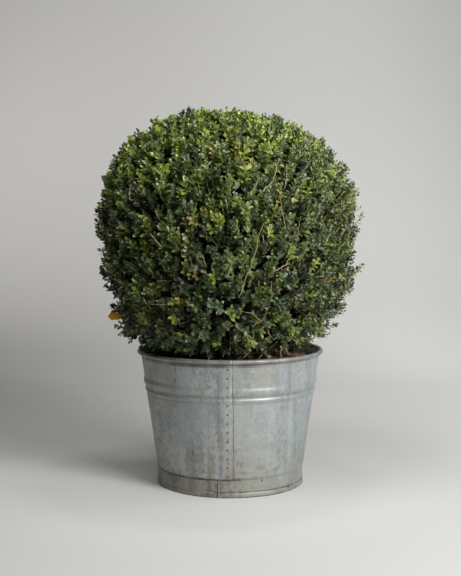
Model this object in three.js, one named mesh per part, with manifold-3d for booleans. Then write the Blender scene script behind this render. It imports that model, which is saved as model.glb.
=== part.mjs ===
// A clipped box ball growing in a riveted, galvanised steel tub.
// Millimetres, +Z up. The origin is the centre of the tub's flat underside, and the front is at -Y.

import * as THREE from 'three';
import { mergeVertices } from 'three/addons/utils/BufferGeometryUtils.js';
import Module from 'manifold-3d';

const wasm = await Module();
wasm.setup();

// ---------------------------------------------------------------- driving dimensions

const GAP = 0.3; // clearance between pieces that touch
const SHEET = 1.5; // thickness of the tub's steel sheet
const SIDES = 40; // facets round the tub

const WALL = { bottom: 44, top: 325.2, bottomRadius: 182.9, topRadius: 222.7 };
// Ridges pressed out of the wall: height of the crest, reach above and below it, and depth.
const BEADS = [
  { height: 235.5, reach: 5.5, depth: 1.9 },
  { height: 254.5, reach: 10, depth: 3.2 },
];
const BEAD_STEPS = [-1, -0.5, 0, 0.5, 1]; // where a ridge's outline has a point, in shares of its reach
const RIM = { rollRadius: 5.2, outerRadius: 232, top: 334.2, sides: 9 };
const FOOT = { bottomRadius: 177, hemHeight: 11.4, hemDepth: 1.6, lap: 14 };
const BASE_SHEET = 2;

const LAP = { width: 27, depth: 1.2, edge: 4 }; // the wall sheet's overlap, its edge beside the centre line
const FOOT_LAP = { width: 18, edge: -30 };
const RIVET = { radius: 2.9, height: 1.6, sides: 6 };
const SEAM_RIVETS = { count: 13, lowest: 52, highest: 311, offset: -6 };
const FOOT_RIVETS = { count: 3, lowest: 15, highest: 35, offset: -21.5 };

const SOIL = { edgeHeight: 306, topHeight: 318, flatRadius: 60, unevenness: 1.5, lumpSpan: [17, 23] };

const TRUNK = {
  lean: [-9, 3], bend: [0.3, 0.35], height: 112, buried: 12, footRadius: 24, topRadius: 18,
  flare: 0.55, flareHeight: 15, lobes: 5, lobeDepth: 0.35, sides: 10, steps: 7,
};
// Boughs leave the trunk in tiers: height of the root above the soil, rise of the limb and its root radius.
const BOUGH_TIERS = [
  { count: 5, rootHeight: 44, rise: 2, turn: 20, rootRadius: 9.5 },
  { count: 4, rootHeight: 74, rise: 38, turn: 50, rootRadius: 9 },
  { count: 1, rootHeight: 102, rise: 82, turn: 0, rootRadius: 10 },
];
const BOUGH = {
  tipRadius: 4.5, bow: [11.2, 20.8], sway: 14, bends: [0.3, 0.65], tipShare: 0.8,
  strayTurn: 10, strayRise: 8, sides: 6, steps: 6,
};

const BALL = { centre: [-8, 0, 620], radius: 322, up: 308, down: 344, fullness: 2.4 };
const CORE = { inset: 66, wall: 76, stretch: 1.13, insideStretch: 1.56, mouthHeight: 330 };
// Where the clipping is fuller or flatter: azimuth and elevation in degrees, height in mm, spread in degrees.
const SWELLS = [
  { azimuth: 0, elevation: 47, height: -20, spread: 24 },
  { azimuth: 180, elevation: 44, height: 10, spread: 20 },
  { azimuth: 0, elevation: -42, height: -20, spread: 20 },
  { azimuth: 180, elevation: -42, height: 8, spread: 20 },
  { azimuth: 180, elevation: 14, height: 9, spread: 14 },
  { azimuth: 0, elevation: 16, height: 5, spread: 14 },
  { azimuth: 175, elevation: -10, height: -5, spread: 12 },
];
const RIPPLE = 4; // height of the uneven clipping all over
const RIM_CLEARANCE = 6; // leaves stay this far above the rim and the soil

const SEED = 20417;
const SHOOTS = 70;
const SHOOT = {
  radius: 6, sideRadius: 5, stray: 0.3, lift: 0.45, sink: 12, leastReach: 12,
  forkShare: 0.6, sideReach: 52, sideRise: 0.7, pairShare: 0.8,
};
const LEAF = {
  length: 62, width: 40, thickness: 4.2, neck: 14, tipSink: 4, spreadAngle: 56,
  scales: [1, 0.85, 0.7, 0.55], sideScale: 0.94,
};
const TWIG_POINT = 9; // a twig's sharp end past its last leaf

// ---------------------------------------------------------------- materials

const zinc = new THREE.MeshStandardMaterial({ color: 0x8d9495, roughness: 0.5, metalness: 0.7 });
const wornZinc = new THREE.MeshStandardMaterial({ color: 0x7b807e, roughness: 0.55, metalness: 0.7 });
const soilBrown = new THREE.MeshStandardMaterial({ color: 0x4a3226, roughness: 0.95, metalness: 0 });
const bark = new THREE.MeshStandardMaterial({ color: 0x8a7355, roughness: 0.85, metalness: 0 });
const boxGreen = new THREE.MeshStandardMaterial({ color: 0x33492a, roughness: 0.5, metalness: 0 });

// ---------------------------------------------------------------- small helpers

const radians = THREE.MathUtils.degToRad;

/** A generator of numbers from 0 to 1 that repeats for the same seed. */
function seeded(seed) {
  let state = seed >>> 0;
  return () => {
    state = (state + 0x6d2b79f5) >>> 0;
    let mixed = Math.imul(state ^ (state >>> 15), state | 1);
    mixed ^= mixed + Math.imul(mixed ^ (mixed >>> 7), mixed | 61);
    return ((mixed ^ (mixed >>> 14)) >>> 0) / 4294967296;
  };
}

/** The unit vector at an azimuth from +X and an elevation, both in degrees. */
function direction(azimuth, elevation) {
  const flat = Math.cos(radians(elevation));
  return new THREE.Vector3(
    flat * Math.cos(radians(azimuth)),
    flat * Math.sin(radians(azimuth)),
    Math.sin(radians(elevation)),
  );
}

/** A copy of a geometry with only positions, shared corners merged and collapsed triangles dropped. */
function welded(geometry) {
  const bare = geometry.clone();
  bare.deleteAttribute('normal');
  bare.deleteAttribute('uv');
  const merged = mergeVertices(bare, 1e-3);
  const index = merged.index.array;
  const kept = [];
  for (let i = 0; i < index.length; i += 3) {
    const [a, b, c] = index.slice(i, i + 3);
    if (a !== b && b !== c && c !== a) kept.push(a, b, c);
  }
  merged.setIndex(kept);
  return merged;
}

function solidOf(geometry) {
  const closed = welded(geometry);
  return new wasm.Manifold(
    new wasm.Mesh({
      numProp: 3,
      vertProperties: Float32Array.from(closed.attributes.position.array),
      triVerts: Uint32Array.from(closed.index.array),
    }),
  );
}

function geometryOf(solid) {
  const mesh = solid.getMesh();
  const geometry = new THREE.BufferGeometry();
  geometry.setAttribute('position', new THREE.BufferAttribute(Float32Array.from(mesh.vertProperties), 3));
  geometry.setIndex(new THREE.BufferAttribute(Uint32Array.from(mesh.triVerts), 1));
  geometry.computeVertexNormals();
  return geometry;
}

/** The largest piece of a solid, so that loose scraps and sealed hollows are left out. */
function largestPiece(solid) {
  return solid.decompose().reduce((best, piece) => (piece.volume() > best.volume() ? piece : best));
}

/** A closed profile of [radius, height] points turned about +Z. */
function turned(profile, sides) {
  const points = profile.map(([radius, height]) => new THREE.Vector2(radius, height));
  return welded(new THREE.LatheGeometry(points, sides).rotateX(Math.PI / 2));
}

function boxSolid(low, high) {
  const size = high.map((value, i) => value - low[i]);
  const middle = high.map((value, i) => (value + low[i]) / 2);
  return solidOf(new THREE.BoxGeometry(...size).translate(...middle));
}

function named(name, geometry, material) {
  const mesh = new THREE.Mesh(geometry, material);
  mesh.name = name;
  return mesh;
}

/** A tapering limb: a cylinder bent to a curve, its radius given by radiusAt(share of length, angle). */
function limb(curve, radiusAt, sides, steps) {
  const geometry = new THREE.CylinderGeometry(1, 1, 1, sides, steps);
  const frames = curve.computeFrenetFrames(steps, false);
  const position = geometry.attributes.position;
  for (let i = 0; i < position.count; i++) {
    const share = position.getY(i) + 0.5;
    const step = Math.round(share * steps);
    const angle = Math.atan2(position.getZ(i), position.getX(i));
    const radius = Math.hypot(position.getX(i), position.getZ(i)) * radiusAt(share, angle);
    const point = curve
      .getPointAt(share)
      .addScaledVector(frames.binormals[step], radius * Math.cos(angle))
      .addScaledVector(frames.normals[step], radius * Math.sin(angle));
    position.setXYZ(i, point.x, point.y, point.z);
  }
  return geometry;
}

// ---------------------------------------------------------------- the tub

const wallSlope = (WALL.topRadius - WALL.bottomRadius) / (WALL.top - WALL.bottom);

/** Outer radius of the plain tapered wall, without its ridges. */
const coneRadius = (height) => WALL.bottomRadius + wallSlope * (height - WALL.bottom);

/** Outer radius of the wall with its pressed ridges. */
function wallRadius(height) {
  return BEADS.reduce((radius, bead) => {
    const offset = (height - bead.height) / bead.reach;
    return Math.abs(offset) < 1 ? radius + bead.depth * Math.cos((offset * Math.PI) / 2) ** 2 : radius;
  }, coneRadius(height));
}

/** Heights where the wall's outline needs a point, from the bottom up. */
function wallHeights() {
  const crests = BEADS.flatMap(({ height, reach }) => BEAD_STEPS.map((step) => height + step * reach));
  return [WALL.bottom, ...crests, WALL.top];
}

/** A skin that follows the wall, from one distance outside its face to another. */
function wallSkin(inner, outer, bottom, top) {
  const heights = [bottom, ...wallHeights().slice(1, -1), top];
  const outside = heights.map((height) => [wallRadius(height) + outer, height]);
  const inside = heights.map((height) => [wallRadius(height) + inner, height]).reverse();
  return turned([...outside, ...inside, outside[0]], SIDES);
}

/** Radius of the flat facet at an angle from the front, where the round tub has this radius. */
function facetRadius(radius, angle) {
  const facet = (2 * Math.PI) / SIDES;
  const fromMiddle = angle - (Math.floor(angle / facet) + 0.5) * facet;
  return (radius * Math.cos(facet / 2)) / Math.cos(fromMiddle);
}

function tubRim() {
  const { rollRadius, outerRadius, top, sides } = RIM;
  const profile = [];
  for (let i = 0; i <= sides; i++) {
    const angle = -Math.PI / 2 + (2 * Math.PI * (i % sides)) / sides;
    const radius = outerRadius - rollRadius + rollRadius * Math.cos(angle);
    profile.push([radius, top - rollRadius + rollRadius * Math.sin(angle)]);
  }
  return turned(profile, SIDES);
}

const footTop = WALL.bottom + FOOT.lap;

/** Outer radius of the foot band, whose upper part stands behind the wall sheet. */
function footRadius(height) {
  const behindWall = (level) => coneRadius(level) - SHEET - GAP;
  if (height > WALL.bottom) return behindWall(height);
  return THREE.MathUtils.lerp(FOOT.bottomRadius, behindWall(WALL.bottom), height / WALL.bottom);
}

function footBand() {
  const outside = [
    [footRadius(0) + FOOT.hemDepth, 0],
    [footRadius(FOOT.hemHeight) + FOOT.hemDepth, FOOT.hemHeight - 1],
    [footRadius(FOOT.hemHeight), FOOT.hemHeight],
    [footRadius(WALL.bottom), WALL.bottom],
    [footRadius(footTop), footTop],
  ];
  const inside = [footTop, WALL.bottom, 0].map((height) => [footRadius(height) - SHEET, height]);
  return turned([...outside, ...inside, outside[0]], SIDES);
}

function tubBase() {
  const radius = footRadius(0) - SHEET - GAP;
  return turned([[0, 0], [radius, 0], [radius, BASE_SHEET], [0, BASE_SHEET]], SIDES);
}

/** A strip of the wall sheet over the seam, from the hidden edge to the one that shows, up to the roll. */
function seamStrip(side) {
  const top = RIM.top - 2 * RIM.rollRadius - GAP;
  const skin = solidOf(wallSkin(GAP, GAP + LAP.depth, WALL.bottom, top));
  const [near, far] = side < 0 ? [-RIM.outerRadius, 0] : [0, RIM.outerRadius];
  const edge = -side * LAP.edge;
  const hidden = edge + side * LAP.width;
  const cutter = boxSolid([Math.min(edge, hidden), near, 0], [Math.max(edge, hidden), far, RIM.top]);
  return geometryOf(skin.intersect(cutter));
}

function footStrip() {
  const low = FOOT.hemHeight + GAP;
  const high = WALL.bottom - GAP;
  const corners = [[low, LAP.depth], [high, LAP.depth], [high, 0], [low, 0]];
  const points = corners.map(([height, out]) => [footRadius(height) + GAP + out, height]);
  const skin = solidOf(turned([...points, points[0]], SIDES));
  const cutter = boxSolid(
    [FOOT_LAP.edge, -WALL.topRadius, 0],
    [FOOT_LAP.edge + FOOT_LAP.width, 0, WALL.bottom],
  );
  return geometryOf(skin.intersect(cutter));
}

function rivetHead() {
  const { radius, height, sides } = RIVET;
  return turned([[0, 0], [radius, 0], [radius * 0.7, height * 0.75], [0, height]], sides);
}

/** Rivets up a seam, each square to the surface under it. side is -1 at the front and 1 at the back. */
function rivetRow(label, row, side, radiusAt) {
  const head = rivetHead();
  const rivets = new THREE.Group();
  for (let i = 0; i < row.count; i++) {
    const height = THREE.MathUtils.lerp(row.highest, row.lowest, i / (row.count - 1));
    const slope = (radiusAt(height + RIVET.radius) - radiusAt(height - RIVET.radius)) / (2 * RIVET.radius);
    const over = [-1, -0.5, 0, 0.5, 1].map((step) => step * RIVET.radius);
    const surface = Math.max(...over.map((offset) => radiusAt(height + offset) - slope * offset));
    const angle = Math.asin((-side * row.offset) / surface);
    const radius = facetRadius(surface, Math.abs(angle)) + GAP;
    const outward = new THREE.Vector3(Math.sin(angle), side * Math.cos(angle), -slope).normalize();
    const rivet = named(`${label}_${String(i + 1).padStart(2, '0')}`, head, wornZinc);
    rivet.position.set(radius * Math.sin(angle), side * radius * Math.cos(angle), height);
    rivet.quaternion.setFromUnitVectors(new THREE.Vector3(0, 0, 1), outward);
    rivets.add(rivet);
  }
  return rivets;
}

function tub() {
  const group = new THREE.Group();
  group.add(named('pot_wall', wallSkin(-SHEET, 0, WALL.bottom, WALL.top), zinc));
  group.add(named('pot_rim', tubRim(), zinc));
  group.add(named('foot_band', footBand(), wornZinc));
  group.add(named('pot_base', tubBase(), wornZinc));
  group.add(named('side_seam_front', seamStrip(-1), zinc));
  group.add(named('side_seam_back', seamStrip(1), zinc));
  group.add(named('foot_seam', footStrip(), wornZinc));
  const onSeam = (height) => wallRadius(height) + GAP + LAP.depth;
  const onFoot = (height) => footRadius(height) + GAP + LAP.depth;
  group.add(rivetRow('seam_rivet_front', SEAM_RIVETS, -1, onSeam));
  group.add(rivetRow('seam_rivet_back', SEAM_RIVETS, 1, onSeam));
  group.add(rivetRow('foot_rivet', FOOT_RIVETS, -1, onFoot));
  return group;
}

// ---------------------------------------------------------------- soil

function pottingSoil() {
  const low = BASE_SHEET + GAP;
  const inside = (height) => coneRadius(height) - SHEET - GAP;
  const footInside = (height) => footRadius(height) - SHEET - GAP;
  const midRadius = (SOIL.flatRadius + inside(SOIL.edgeHeight)) / 2;
  const midHeight = (SOIL.edgeHeight + SOIL.topHeight) / 2;
  const geometry = turned(
    [
      [0, low],
      [footInside(low), low],
      [footInside(WALL.bottom), WALL.bottom],
      [footInside(footTop), footTop + GAP],
      [inside(SOIL.edgeHeight), SOIL.edgeHeight],
      [midRadius, midHeight],
      [SOIL.flatRadius, SOIL.topHeight],
      [0, SOIL.topHeight],
    ],
    SIDES,
  );
  const position = geometry.attributes.position;
  for (let i = 0; i < position.count; i++) {
    const [x, y, z] = [position.getX(i), position.getY(i), position.getZ(i)];
    const lump = SOIL.unevenness * Math.sin(x / SOIL.lumpSpan[0]) * Math.cos(y / SOIL.lumpSpan[1]);
    if (Math.abs(z - midHeight) < 1) position.setZ(i, z + lump);
  }
  return geometry;
}

// ---------------------------------------------------------------- trunk and boughs

const ground = SOIL.topHeight + GAP;
const ballCentre = new THREE.Vector3(...BALL.centre);

/** A point of the trunk's curve, by its share of the lean and of the height above the soil. */
const trunkPoint = (lean, height) =>
  new THREE.Vector3(TRUNK.lean[0] * lean, TRUNK.lean[1] * lean, ground + TRUNK.height * height);

const trunkCurve = new THREE.CatmullRomCurve3([
  new THREE.Vector3(0, 0, ground - TRUNK.buried),
  trunkPoint(...TRUNK.bend),
  trunkPoint(1, 1),
]);

/** The trunk as a solid, made larger all round by a clearance where a bough is cut to it. */
function trunkSolid(clearance) {
  const radiusAt = (share, angle) => {
    const above = Math.max(0, trunkCurve.getPointAt(share).z - ground);
    const flare = Math.exp(-above / TRUNK.flareHeight);
    const taper = THREE.MathUtils.lerp(TRUNK.footRadius, TRUNK.topRadius, share);
    const lobed = 1 + TRUNK.lobeDepth * Math.cos(TRUNK.lobes * angle);
    return taper * (1 + TRUNK.flare * flare * lobed) + clearance;
  };
  const whole = solidOf(limb(trunkCurve, radiusAt, TRUNK.sides, TRUNK.steps));
  const level = ground - clearance;
  const wide = 4 * TRUNK.footRadius;
  return whole.subtract(boxSolid([-wide, -wide, 0], [wide, wide, level]));
}

/** Distance from the ball's centre to the clipped surface, in a direction. */
function clippedRadius(unit) {
  const flat = Math.hypot(unit.x, unit.y) / BALL.radius;
  const tall = Math.abs(unit.z) / (unit.z > 0 ? BALL.up : BALL.down);
  const smooth = (flat ** BALL.fullness + tall ** BALL.fullness) ** (-1 / BALL.fullness);
  const swell = SWELLS.reduce((sum, { azimuth, elevation, height, spread }) => {
    const away = THREE.MathUtils.radToDeg(unit.angleTo(direction(azimuth, elevation))) / spread;
    return sum + height * Math.exp(-away * away);
  }, 0);
  const across = Math.sin(7 * unit.x + 1.3) * Math.sin(6 * unit.y + 0.4);
  const aslant = 0.7 * Math.sin(9 * unit.z + 5 * unit.x - 4 * unit.y);
  return smooth + swell + RIPPLE * (across + aslant);
}

/** A point this far inside the clipped surface, drawn downwards below the centre by the given stretch. */
function shellPoint(unit, inset, stretch) {
  const point = unit.clone().multiplyScalar(clippedRadius(unit) - inset);
  if (point.z < 0) point.z *= stretch;
  return point.add(ballCentre);
}

/** A closed surface through the shell points all round the ball's centre. */
function ballShell(inset, stretch, around, upright) {
  const geometry = new THREE.SphereGeometry(1, around, upright).rotateX(Math.PI / 2);
  const position = geometry.attributes.position;
  for (let i = 0; i < position.count; i++) {
    const unit = new THREE.Vector3().fromBufferAttribute(position, i).normalize();
    const point = shellPoint(unit, inset, stretch);
    position.setXYZ(i, point.x, point.y, point.z);
  }
  return solidOf(geometry);
}

/** The open inside of the crown, kept this much smaller than the foliage's inner face. */
const crownInside = (clearance) => ballShell(CORE.inset + CORE.wall + clearance, CORE.insideStretch, 12, 8);

function boughs(trunkCutter) {
  const random = seeded(SEED + 1);
  const group = new THREE.Group();
  const room = crownInside(GAP * 1.5);
  let number = 0;
  for (const tier of BOUGH_TIERS) {
    for (let i = 0; i < tier.count; i++) {
      number += 1;
      const azimuth = tier.turn + (360 * i) / tier.count + BOUGH.strayTurn * (random() - 0.5);
      const rise = tier.rise + BOUGH.strayRise * (random() - 0.5);
      const root = trunkCurve.getPointAt((tier.rootHeight + TRUNK.buried) / (TRUNK.height + TRUNK.buried));
      const unit = direction(azimuth, rise);
      const tipInset = CORE.inset + CORE.wall * BOUGH.tipShare;
      const tip = ballCentre.clone().addScaledVector(unit, clippedRadius(unit) - tipInset);
      const bowed = THREE.MathUtils.lerp(...BOUGH.bow, random());
      const bow = new THREE.Vector3(unit.x, unit.y, 0).multiplyScalar(bowed);
      const sway = new THREE.Vector3(-unit.y, unit.x, 0).multiplyScalar(BOUGH.sway * (random() - 0.5));
      const curve = new THREE.CatmullRomCurve3([
        root,
        root.clone().lerp(tip, BOUGH.bends[0]).add(bow),
        root.clone().lerp(tip, BOUGH.bends[1]).add(bow).add(sway),
        tip,
      ]);
      const radiusAt = (share) => THREE.MathUtils.lerp(tier.rootRadius, BOUGH.tipRadius, share);
      const whole = solidOf(limb(curve, radiusAt, BOUGH.sides, BOUGH.steps));
      const cut = largestPiece(whole.subtract(trunkCutter).intersect(room));
      group.add(named(`bough_${String(number).padStart(2, '0')}`, geometryOf(cut), bark));
    }
  }
  return group;
}

// ---------------------------------------------------------------- foliage

/** True where twigs and leaves may be: inside the clipped surface, above the rim and the soil. */
function inFoliageSpace(point) {
  const fromCentre = point.clone().sub(ballCentre);
  const overRim = Math.hypot(point.x, point.y) > RIM.outerRadius - 2 * RIM.rollRadius - RIM_CLEARANCE;
  const floor = (overRim ? RIM.top : SOIL.topHeight) + RIM_CLEARANCE;
  return point.z > floor && fromCentre.length() <= clippedRadius(fromCentre.clone().normalize());
}

/** A box leaf: two flat pyramids on a diamond outline, its upper face turned to the given side. */
function leafSolid({ root, along, facing, length }) {
  const blade = new THREE.OctahedronGeometry(1, 0);
  const width = (LEAF.width * length) / LEAF.length;
  blade.scale(length / 2, width / 2, LEAF.thickness / 2).translate(length / 2, 0, 0);
  const side = new THREE.Vector3().crossVectors(facing, along).normalize();
  const up = new THREE.Vector3().crossVectors(along, side).normalize();
  blade.applyMatrix4(new THREE.Matrix4().makeBasis(along, side, up).setPosition(root));
  return solidOf(blade);
}

/** A three-sided twig, tapering to a point past its last leaf, one corner toward the given side. */
function twigSolid(from, to, baseRadius, out) {
  const stem = to.clone().sub(from).normalize();
  const length = from.distanceTo(to) + TWIG_POINT;
  const twig = new THREE.ConeGeometry(baseRadius, length, 3, 1).translate(0, length / 2, 0);
  const third = new THREE.Vector3().crossVectors(out, stem).normalize();
  twig.applyMatrix4(new THREE.Matrix4().makeBasis(out, stem, third).setPosition(from));
  return solidOf(twig);
}

/** A pair of leaves on either side of a twig and one at its end, each with its root on the twig's axis. */
function leavesOn(from, to, share, out, length) {
  const stem = to.clone().sub(from).normalize();
  const spread = radians(LEAF.spreadAngle);
  const pair = [1, -1].map((side) => {
    const aside = out.clone().multiplyScalar(side * Math.sin(spread));
    const back = out.clone().multiplyScalar(-side * Math.cos(spread));
    return {
      root: from.clone().lerp(to, share),
      along: stem.clone().multiplyScalar(Math.cos(spread)).add(aside),
      facing: stem.clone().multiplyScalar(Math.sin(spread)).add(back),
      length,
    };
  });
  const end = {
    root: to.clone().addScaledVector(stem, -LEAF.tipSink),
    along: stem,
    facing: new THREE.Vector3().crossVectors(stem, out),
    length,
  };
  return [...pair, end];
}

/** One shoot standing out of the core: a twig with a side twig, and the places of their leaves. */
function shoot(unit, random) {
  const stray = () => SHOOT.stray * (random() - 0.5);
  const lift = SHOOT.lift * (1 - unit.z * unit.z);
  const stem = new THREE.Vector3(unit.x + stray(), unit.y + stray(), unit.z + lift + stray()).normalize();
  const around = new THREE.Vector3().crossVectors(stem, unit).normalize();
  const turn = random() * Math.PI;
  const sideTurn = random() < 0.5 ? 0 : Math.PI;
  const root = shellPoint(unit, CORE.inset + SHOOT.sink, CORE.stretch);
  /** How long the twig can be with a leaf of this scale at its end. */
  const reachWith = (scale) => {
    const leaf = LEAF.length * scale - LEAF.tipSink;
    let reach = CORE.inset;
    while (reach > 0 && !inFoliageSpace(root.clone().addScaledVector(stem, reach + leaf))) reach -= 1;
    return reach;
  };
  const scale = LEAF.scales.find((size) => reachWith(size) > SHOOT.leastReach);
  if (!scale) return { twigs: [], leaves: [] };
  const reach = reachWith(scale);
  const length = LEAF.length * scale;
  const tip = root.clone().addScaledVector(stem, reach);
  const out = around.clone().applyAxisAngle(stem, turn);
  const fork = root.clone().lerp(tip, SHOOT.forkShare);
  const sideways = around.clone().applyAxisAngle(unit, sideTurn).multiplyScalar(SHOOT.sideReach);
  const sideTip = fork.clone().addScaledVector(unit, reach * SHOOT.sideRise).add(sideways);
  const sideStem = sideTip.clone().sub(fork).normalize();
  const sideOut = new THREE.Vector3().crossVectors(sideStem, unit).normalize();
  return {
    twigs: [twigSolid(root, tip, SHOOT.radius, out), twigSolid(fork, sideTip, SHOOT.sideRadius, sideOut)],
    leaves: [
      ...leavesOn(root, tip, SHOOT.pairShare, out, length),
      ...leavesOn(fork, sideTip, SHOOT.pairShare, sideOut, length * LEAF.sideScale),
    ],
  };
}

/** The leaves that stay inside the crown's space and, beyond their roots, touch nothing else. */
function clearLeaves(shoots, core) {
  const taken = shoots.flatMap(({ twigs }) => twigs);
  const kept = [];
  for (const place of shoots.flatMap(({ leaves }) => leaves)) {
    const tip = place.root.clone().addScaledVector(place.along, place.length);
    const start = place.root.clone().addScaledVector(place.along, LEAF.neck);
    const blade = leafSolid({ ...place, root: start, length: place.length - LEAF.neck });
    const meets = (other) => other.intersect(blade).volume() > 0;
    if (!inFoliageSpace(tip) || meets(core) || taken.some(meets)) continue;
    taken.push(blade);
    kept.push(leafSolid(place));
  }
  return kept;
}

/** The clipped ball: a hollow core, open below round the boughs, with leafy shoots all over it. */
function foliageBall() {
  const random = seeded(SEED);
  const wide = 2 * BALL.radius;
  const below = boxSolid([-wide, -wide, 0], [wide, wide, CORE.mouthHeight]);
  const core = ballShell(CORE.inset, CORE.stretch, 18, 12).subtract(crownInside(0)).subtract(below);
  const goldenTurn = 180 * (3 - Math.sqrt(5));
  const shoots = [];
  for (let i = 0; i < SHOOTS; i++) {
    const elevation = THREE.MathUtils.radToDeg(Math.asin(1 - (2 * (i + 0.5)) / SHOOTS));
    shoots.push(shoot(direction(i * goldenTurn, elevation), random));
  }
  const twigs = shoots.flatMap((one) => one.twigs);
  return largestPiece(wasm.Manifold.union([core, ...twigs, ...clearLeaves(shoots, core)]));
}

// ---------------------------------------------------------------- the whole plant

const plant = new THREE.Group();
plant.add(tub());
plant.add(named('potting_soil', pottingSoil(), soilBrown));
plant.add(named('trunk', geometryOf(trunkSolid(0)), bark));
plant.add(boughs(trunkSolid(GAP)));
plant.add(named('foliage_ball', geometryOf(foliageBall()), boxGreen));

export default plant;
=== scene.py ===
"""A clipped box ball in a riveted, galvanised tub, dressed for rendering.

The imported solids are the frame. Each class below builds one sub-assembly round them: the tub, its soil, the
woody limbs, the crown and the studio. +Z is up, and the front, where the riveted side seam is, faces -Y.
Lengths are in metres, but the tables of stripes, lines, marks, dents, swells, stems, openings, tints and
fringes are in millimetres, and so are the torn hem's lift, the chips' sizes and the insets that are drawn at
random. Azimuths are turned from +X, and they and elevations are in degrees.
"""

import sys

import logging
import math
from collections.abc import Callable, Iterable, Sequence
from dataclasses import dataclass, field
from enum import Enum

import bmesh
import bpy
import numpy as np
from mathutils import Matrix, Vector, noise


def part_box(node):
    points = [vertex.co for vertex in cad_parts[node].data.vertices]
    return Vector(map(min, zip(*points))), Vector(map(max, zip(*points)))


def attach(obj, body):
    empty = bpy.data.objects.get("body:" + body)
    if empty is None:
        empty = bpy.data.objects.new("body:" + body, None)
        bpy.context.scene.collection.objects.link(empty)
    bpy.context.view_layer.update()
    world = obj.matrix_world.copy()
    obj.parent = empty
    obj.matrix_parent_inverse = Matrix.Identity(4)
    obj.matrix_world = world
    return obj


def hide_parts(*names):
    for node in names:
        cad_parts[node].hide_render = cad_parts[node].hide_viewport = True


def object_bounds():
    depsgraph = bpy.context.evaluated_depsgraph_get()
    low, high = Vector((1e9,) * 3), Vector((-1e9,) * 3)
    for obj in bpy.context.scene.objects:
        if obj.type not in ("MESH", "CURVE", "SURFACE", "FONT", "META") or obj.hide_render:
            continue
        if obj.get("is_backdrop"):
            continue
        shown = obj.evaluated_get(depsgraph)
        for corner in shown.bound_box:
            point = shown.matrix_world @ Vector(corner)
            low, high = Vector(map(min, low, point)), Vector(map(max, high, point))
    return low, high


log = logging.getLogger("box_ball")

Colour = tuple[float, float, float]
Place = tuple[float, float, float]
Profile = list[tuple[float, float]]
Swell = tuple[float, float, float, float]
Rows = dict[str, np.ndarray]

MM = 0.001
MERGE = 0.01 * MM
UP = np.array((0.0, 0.0, 1.0))
BODY = "root"


# ---------------------------------------------------------------- finishes


@dataclass(frozen=True)
class Pattern:
    """Fractal noise over a piece, and the band of it that shows.

    It is given by its blotches to the metre, roughly, the scale along each axis, under 1 to draw them out,
    the octaves of finer noise, and the levels where it starts to show and shows fully, with what those two
    levels turn into if that is not 0 and 1.
    """

    scale: float
    stretch: tuple[float, float, float] = (1, 1, 1)
    detail: float = 4
    band: tuple[float, ...] = (0.36, 0.64)


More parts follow.
